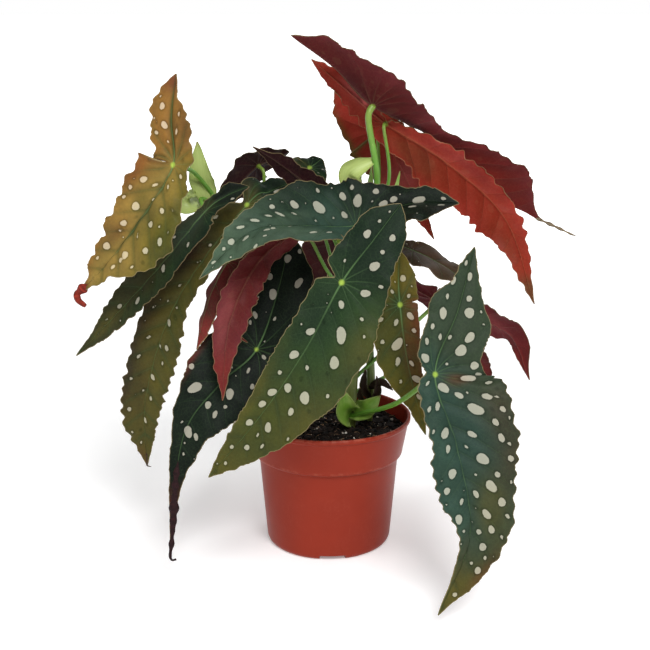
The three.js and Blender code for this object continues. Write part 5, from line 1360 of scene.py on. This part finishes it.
class BEGONIA_OT_soil(bpy.types.Operator):
    """Lay the soil: a round bed whose height is layered noise, with crumbs, fibres and
    perlite scattered on it."""

    bl_idname = "begonia.soil"
    bl_label = "Soil"

    def execute(self, context):
        s = context.scene.begonia_soil
        rings, sides, bottom = 100, 300, 80
        radius, turn = np.meshgrid(
            np.linspace(0.3, 56.4, rings), np.arange(sides) / sides * 2 * np.pi, indexing="ij")
        x, y = radius * np.cos(turn), radius * np.sin(turn)
        surface = np.stack([x, y, soil_height(x, y, s)], -1)
        skirt = surface[-1:] * [0.985, 0.985, 0] + [0, 0, bottom]
        grid = np.vstack([surface, skirt, skirt * [0.01, 0.01, 1]])
        poles = [[0, 0, soil_height(0.0, 0.0, s)], [0, 0, bottom]]
        body = [np.vstack([grid.reshape(-1, 3), poles]), *capped_faces(len(grid), sides)]
        peat = peat_material("Peat", s.dark[:], s.brown[:], 700.0)
        bed = make_piece("soil_bed", body, [peat])
        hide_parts("soil")

        draw = np.random.default_rng(11)
        crumb_reach, fibre_reach = 55.2, 54.5

        def spread(count):
            """Distances and angles of points strewn evenly over the bed."""
            return crumb_reach * np.sqrt(draw.random(count)), draw.uniform(0, 2 * np.pi, count)

        def scattered(count, least, more, power, lift, flatness):
            """Lumps strewn over the bed, few of them large."""
            far, turn = spread(count)
            size = least + more * draw.random(count) ** power
            x, y = far * np.cos(turn), far * np.sin(turn)
            centres = np.stack([x, y, soil_height(x, y, s) + lift * size], -1)
            return lumps(centres, size, draw, flatness)

        crumbs = scattered(s.crumbs, 0.5, 2.4, 3, 0.2, 0.7)
        make_piece("soil_crumbs", crumbs, [peat], check=False)
        specks = scattered(s.specks, 0.35, 1.1, 2, 0.35, 0.9)
        speck = peat_material("Perlite", s.speck[:], s.fibre[:], 1500.0)
        make_piece("soil_perlite", specks, [speck], check=False)

        parts = []
        k = np.linspace(0, 1, 7)
        arch = np.sin(np.pi * k)
        for distance, angle in zip(*spread(s.fibres)):
            reach = draw.uniform(2, 7)
            heading = draw.uniform(0, 2 * np.pi)
            bow = draw.uniform(-0.35, 0.35) * reach * arch
            x = distance * np.cos(angle) + reach * k * np.cos(heading) - bow * np.sin(heading)
            y = distance * np.sin(angle) + reach * k * np.sin(heading) + bow * np.cos(heading)
            out = np.maximum(np.hypot(x, y) / fibre_reach, 1)
            x, y = x / out, y / out
            z = soil_height(x, y, s) + 0.3 + draw.uniform(0, 1.6) * arch
            thin = draw.uniform(0.15, 0.4)
            parts.append(tube(np.stack([x, y, z], -1), thin * (1.1 - 0.7 * k), 4)[:3])
        fibre = peat_material("Peat fibre", s.fibre[:], s.fibre[:], 900.0)
        make_piece("soil_fibres", joined(parts), [fibre], check=False)
        return {"FINISHED"}


# ---- canes, petioles and stipules ---------------------------------------------------------
def even_path(points, step):
    """Points spread evenly, about a step apart, on the centripetal Catmull-Rom curve through
    the given points: each span's pace is the square root of its length, so it never loops."""
    points = np.asarray(points, float)
    ends = np.vstack([2 * points[0] - points[1], points, 2 * points[-1] - points[-2]])
    pace = np.sqrt(np.linalg.norm(np.diff(ends, axis=0), axis=1))
    spans = []
    for i in range(len(points) - 1):
        a, b, c, d = ends[i:i + 4]
        before, here, after = pace[i:i + 3]
        leave = ((b - a) / before - (c - a) / (before + here) + (c - b) / here) * here
        arrive = ((c - b) / here - (d - b) / (here + after) + (d - c) / after) * here
        k = np.linspace(0, 1, 60, endpoint=i == len(points) - 2)[:, None]
        spans.append(b + leave * k + (3 * (c - b) - 2 * leave - arrive) * k ** 2
                     + (2 * (b - c) + leave + arrive) * k ** 3)
    fine = np.vstack(spans)
    run = run_along(fine)
    even = np.linspace(0, run[-1], max(8, int(run[-1] / step)))
    return np.stack([np.interp(even, run, fine[:, k]) for k in range(3)], -1), even


def stem_material(s):
    """Fleshy green stems: a colour attribute with pale pores, streaks and a satin skin."""
    n = new_material("Stem skin")
    place = n.place()
    long = n.stretched(place, (1.0, 1.0, 0.28))
    streak = n.noise(long, 900.0, 3.0, 0.6)
    pore = n.cells(long, 520.0)
    cloud = n.noise(place, 90.0, 3.0)
    base = n.mottled(n.ground(), cloud, 0.35, 0.7, 0.4, (0.6, 0.62, 0.5))
    base = n.mottled(base, streak, 0.45, 0.75, 0.4, (1.5, 1.4, 1.3))
    base = n.blend(n.rise(pore, 0.16, 0.06, 0.0, 0.55), base, s.pale[:])
    bump = n.bump(n.scaled(pore, -0.6, streak), 0.35, 0.0003)
    return n.finished(base, n.scaled(cloud, 0.2, 0.32), bump, 0.45)


def stipule_material(s):
    """Thin leafy stipules: a colour attribute with lengthwise veins and a soft sheen."""
    n = new_material("Stipule")
    flat = n.flat()
    lines = n.noise(n.stretched(flat, (0.06, 1.5, 1.0)), 1.0, 2.0, 0.5)
    cloud = n.noise(flat, 0.12, 3.0)
    base = n.mottled(n.ground(), lines, 0.45, 0.7, 0.5, (0.62, 0.7, 0.5))
    base = n.blend(n.rise(cloud, 0.4, 0.7, 0.0, 0.35), base, s.pale[:])
    return n.finished(base, n.scaled(cloud, 0.2, 0.36), n.bump(lines, 0.5, 0.0004))


def stipule_part(row, s):
    """One stipule: a lens-shaped sheet bent about its length, as a closed thin body. Its half
    width follows seven knots from foot to tip; a point turns by the cup angle times the share
    across."""
    _, foot, middle, tip, half_width, facing, cup, kind = row
    facing = np.array(facing, float)
    cup = np.radians(cup)
    rows, columns = 44, 17
    station = np.linspace(0, 2, rows)
    knots = [0, 0.3, 0.7, 1.1, 1.5, 1.8, 2]
    half = half_width * np.interp(station, knots, [0.35, 0.8, 1, 0.95, 0.65, 0.3, 0.05])
    place, slope = curve([foot, middle, tip], station)
    ahead = unit(slope)
    front = unit(facing - (ahead @ facing)[:, None] * ahead)
    side = np.cross(front, ahead)
    share = np.linspace(-1, 1, columns)
    bend = cup * share
    across = np.sin(bend)[None] * half[:, None] / cup
    rise = (1 - np.cos(bend))[None] * half[:, None] / cup
    wave = 0.35 * ripple(station[:, None] * 20, share[None] * 4, 9.0, int(foot[2])) * share ** 2
    sheet = (place[:, None] + side[:, None] * across[..., None]
             + front[:, None] * (rise + wave)[..., None])
    normal = unit(np.cross(np.gradient(sheet, axis=0), np.gradient(sheet, axis=1)))
    thick = (0.32 - 0.14 * share ** 2)[:, None]
    points, quads, _ = two_sheets(sheet + normal * thick, sheet - normal * thick)
    base = tone(s, kind)
    edge = mix(base, tone(s, "pale"), 0.06 if kind == "sheath" else 0.5)
    shade = mix(base, edge, (share ** 2)[None, :, None] * np.ones((rows, 1, 1)))
    shade = mix(shade, tone(s, "scar"), (0.7 * smooth(1.82, 2.0, station))[:, None, None])
    flat = np.stack([run_along(place)[:, None] + 0 * across, across], -1).reshape(-1, 2)
    return [points, quads, [], np.tile(shade.reshape(-1, 3), (2, 1)), np.tile(flat, (2, 1))]


def cane_part(radius, points, s):
    """A cane: a tube that tapers, swollen into a ring at each joint, its skin greener and
    brighter towards the growing tip."""
    path, run = even_path(points, 1.1)
    share = run / run[-1]
    taper = np.interp(share, [0, 1 / 3, 2 / 3, 1], [1, 1, 0.9, 0.72])
    joints = np.arange(30.0, run[-1], 34.0)
    off = run[:, None] - joints
    swell = np.exp(-(off / 2.6) ** 2).max(1) * s.swelling
    scar = np.exp(-((off - 1.2) / 0.7) ** 2).max(1)
    radii = radius * taper * (1 + swell - 0.05 * scar)
    radii[-3:] *= [0.85, 0.6, 0.3]
    points, quads, triangles, _, runs = tube(path, radii, 22)
    old = np.interp(runs, run, 1 - smooth(0.25, 0.85, share))[:, None]
    ring = np.interp(runs, run, scar)[:, None]
    shade = mix(tone(s, "young"), tone(s, "old"), old)
    shade = mix(shade, tone(s, "scar"), 0.75 * ring)
    return [points, quads, triangles, shade]


def petiole_part(row, blade, s):
    """A petiole: a tube from the cane to the blade's hub, thicker at its foot, flushed red
    under the blade, where it flares."""
    _, _, radius, start, middle = row
    place, _, up, _ = blade.frame(np.array([HUB]))
    below = place[0] - up[0] * PETIOLE_RISE
    end = place[0] - up[0] * 0.2
    path, run = even_path([start, middle, below, end], 1.3)
    share = run / run[-1]
    foot = 0.5 * np.exp(-(run / 5) ** 2)
    flare = 0.1 * np.exp(-((run - run[-1]) / 3) ** 2)
    radii = radius * (0.84 + foot + flare) * (1 + 0.02 * np.sin(run * 0.9))
    points, quads, triangles, turns, runs = tube(path, radii, 14, 0.9)
    high = np.interp(runs, run, smooth(0.6, 1.0, share))[:, None]
    shade = mix(tone(s, "young"), tone(s, "flush"), 0.2 * high)
    # Painted shade: a darker stripe along one side stands in for the shade in a groove that the tube
    # does not have.
    groove_shade = 0.25 * np.clip(np.cos(turns) - 0.8, 0, 1)[:, None] * 5
    shade = shade * (1 - 0.35 * groove_shade)
    return [points, quads, triangles, shade]


class BEGONIA_OT_stems(bpy.types.Operator):
    """Grow the canes, petioles, stipules and old papery sheaths."""

    bl_idname = "begonia.stems"
    bl_label = "Stems"

    def execute(self, context):
        s = context.scene.begonia_stems
        skin = stem_material(s)
        thin = stipule_material(s)
        blades = {row[0]: Blade(row, 0) for row in LEAVES}
        for name, radius, points in CANES:
            parts = [cane_part(radius, points, s)]
            if name == "cane_main":
                parts.append(cane_part(*SIDE_SHOOT, s))
            parts += [petiole_part(row, blades[row[0]], s) for row in PETIOLES if row[1] == name]
            piece = make_piece(name + "_stems", joined(parts), [skin])
            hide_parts(name)
            leaves = [stipule_part(row, s) for row in STIPULES if row[0] == name]
            make_piece(name + "_stipules", joined(leaves), [thin])
        husks = [stipule_part(row, s) for row in HUSKS]
        make_piece("old_husks", joined(husks), [dry_material("Dry husk")])
        return {"FINISHED"}


class BEGONIA_OT_leaves(bpy.types.Operator):
    """Grow the leaves: angel-wing blades with teeth, ruffles, quilting, veins and spots."""

    bl_idname = "begonia.leaves"
    bl_label = "Leaves"

    def execute(self, context):
        s = context.scene.begonia_leaves
        build_groups()
        materials = [leaf_top_material(s), leaf_under_material(s)]
        for index, row in enumerate(LEAVES):
            leaf_piece(row, index, s, materials)
        dry = dry_material("Dry tip")
        make_piece("curled_tips", curl_parts(s), [dry], check=False)
        return {"FINISHED"}


# ---- the stage ----------------------------------------------------------------------------
class BEGONIA_OT_stage(bpy.types.Operator):
    """Set the plain pale floor, the even sky, three soft lights and the camera."""

    bl_idname = "begonia.stage"
    bl_label = "Stage"

    def execute(self, context):
        s = context.scene.begonia_stage
        scene = context.scene
        n = new_material("Pale floor")
        cloud = n.noise(n.place(), 3.0, 2.0)
        low = tuple(v * 0.985 for v in s.floor)
        n.put(n.shader["Base Color"], n.blend(cloud, low, s.floor[:]))
        n.put(n.shader["Roughness"], n.scaled(cloud, 0.1, 0.8))
        far = n.add("ShaderNodeVectorMath", operation="LENGTH")
        n.put(far.inputs[0], n.place())
        glow = n.rise(far.outputs["Value"], 0.5, 1.7, s.glow, 1.0)
        n.put(n.shader["Emission Color"], n.blend(glow, (0, 0, 0), (1, 1, 1)))
        n.shader["Emission Strength"].default_value = 1.0
        mesh = bpy.data.meshes.new("floor")
        half = 200.0
        corners = [(-half, -half, 0), (half, -half, 0), (half, half, 0), (-half, half, 0)]
        mesh.from_pydata(corners, [], [(0, 1, 2, 3)])
        mesh.materials.append(n.material)
        floor = bpy.data.objects.new("floor", mesh)
        scene.collection.objects.link(floor)

        world = bpy.data.worlds.new("Even sky")
        scene.world = world
        world.use_nodes = True
        sky = world.node_tree.nodes["Background"]
        sky.inputs[0].default_value = (1, 1, 1, 1)
        w = Nodes(world.node_tree)
        seen = w.add("ShaderNodeLightPath").outputs["Is Camera Ray"]
        w.put(sky.inputs[1], w.rise(seen, 0.0, 1.0, s.sky, 1.0))

        def lamp(name, place, turn, size, power):
            data = bpy.data.lights.new(name, "AREA")
            data.shape = "DISK"
            data.size = size
            data.energy = power
            light = bpy.data.objects.new(name, data)
            light.location = place
            light.rotation_euler = [math.radians(v) for v in turn]
            scene.collection.objects.link(light)

        lamp("key", (0.45, -1.55, 1.75), (46, 0, 16), 1.1, s.key)
        lamp("rear", (0.9, 1.5, 1.5), (-48, 0, -31), 1.6, s.key * 0.3)
        lamp("fill", (-1.5, -0.9, 0.9), (68, 0, -59), 1.2, s.key * 0.09)

        view = bpy.data.cameras.new("view")
        view.lens = s.lens
        view.sensor_width = 36
        view.clip_end = 40
        camera = bpy.data.objects.new("view", view)
        camera.location = (-0.0026, -0.8307, 0.3851)
        camera.rotation_euler = (math.radians(75), 0, 0)
        scene.collection.objects.link(camera)
        scene.camera = camera
        scene.view_settings.view_transform = "Standard"
        return {"FINISHED"}


# ---- the add-on ---------------------------------------------------------------------------
SETTINGS = [
    ("begonia_pot", PotSettings), ("begonia_soil", SoilSettings),
    ("begonia_stems", StemSettings), ("begonia_leaves", LeafSettings),
    ("begonia_stage", StageSettings),
]
OPERATORS = [
    BEGONIA_OT_stage, BEGONIA_OT_pot, BEGONIA_OT_soil, BEGONIA_OT_stems, BEGONIA_OT_leaves,
]


class BEGONIA_PT_parts(bpy.types.Panel):
    """The plant's parts, in the sidebar."""

    bl_label = "Begonia"
    bl_idname = "BEGONIA_PT_parts"
    bl_space_type = "VIEW_3D"
    bl_region_type = "UI"
    bl_category = "Begonia"

    def draw(self, context):
        for operator, (key, _) in zip(OPERATORS[1:], SETTINGS[:-1]):
            box = self.layout.box()
            box.operator(operator.bl_idname)
            settings = getattr(context.scene, key)
            for entry in settings.bl_rna.properties.keys():
                if entry not in ("rna_type", "name"):
                    box.prop(settings, entry)
        self.layout.operator(BEGONIA_OT_stage.bl_idname)


def register():
    for key, group in SETTINGS:
        bpy.utils.register_class(group)
        setattr(bpy.types.Scene, key, bpy.props.PointerProperty(type=group))
    for operator in OPERATORS:
        bpy.utils.register_class(operator)
    bpy.utils.register_class(BEGONIA_PT_parts)


def unregister():
    bpy.utils.unregister_class(BEGONIA_PT_parts)
    for operator in reversed(OPERATORS):
        bpy.utils.unregister_class(operator)
    for key, group in reversed(SETTINGS):
        delattr(bpy.types.Scene, key)
        bpy.utils.unregister_class(group)


def main():
    """Registers the add-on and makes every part."""
    register()
    bpy.ops.begonia.stage()
    bpy.ops.begonia.pot()
    bpy.ops.begonia.soil()
    bpy.ops.begonia.stems()
    bpy.ops.begonia.leaves()
    bpy.context.view_layer.update()


if __name__ == "__main__":
    main()
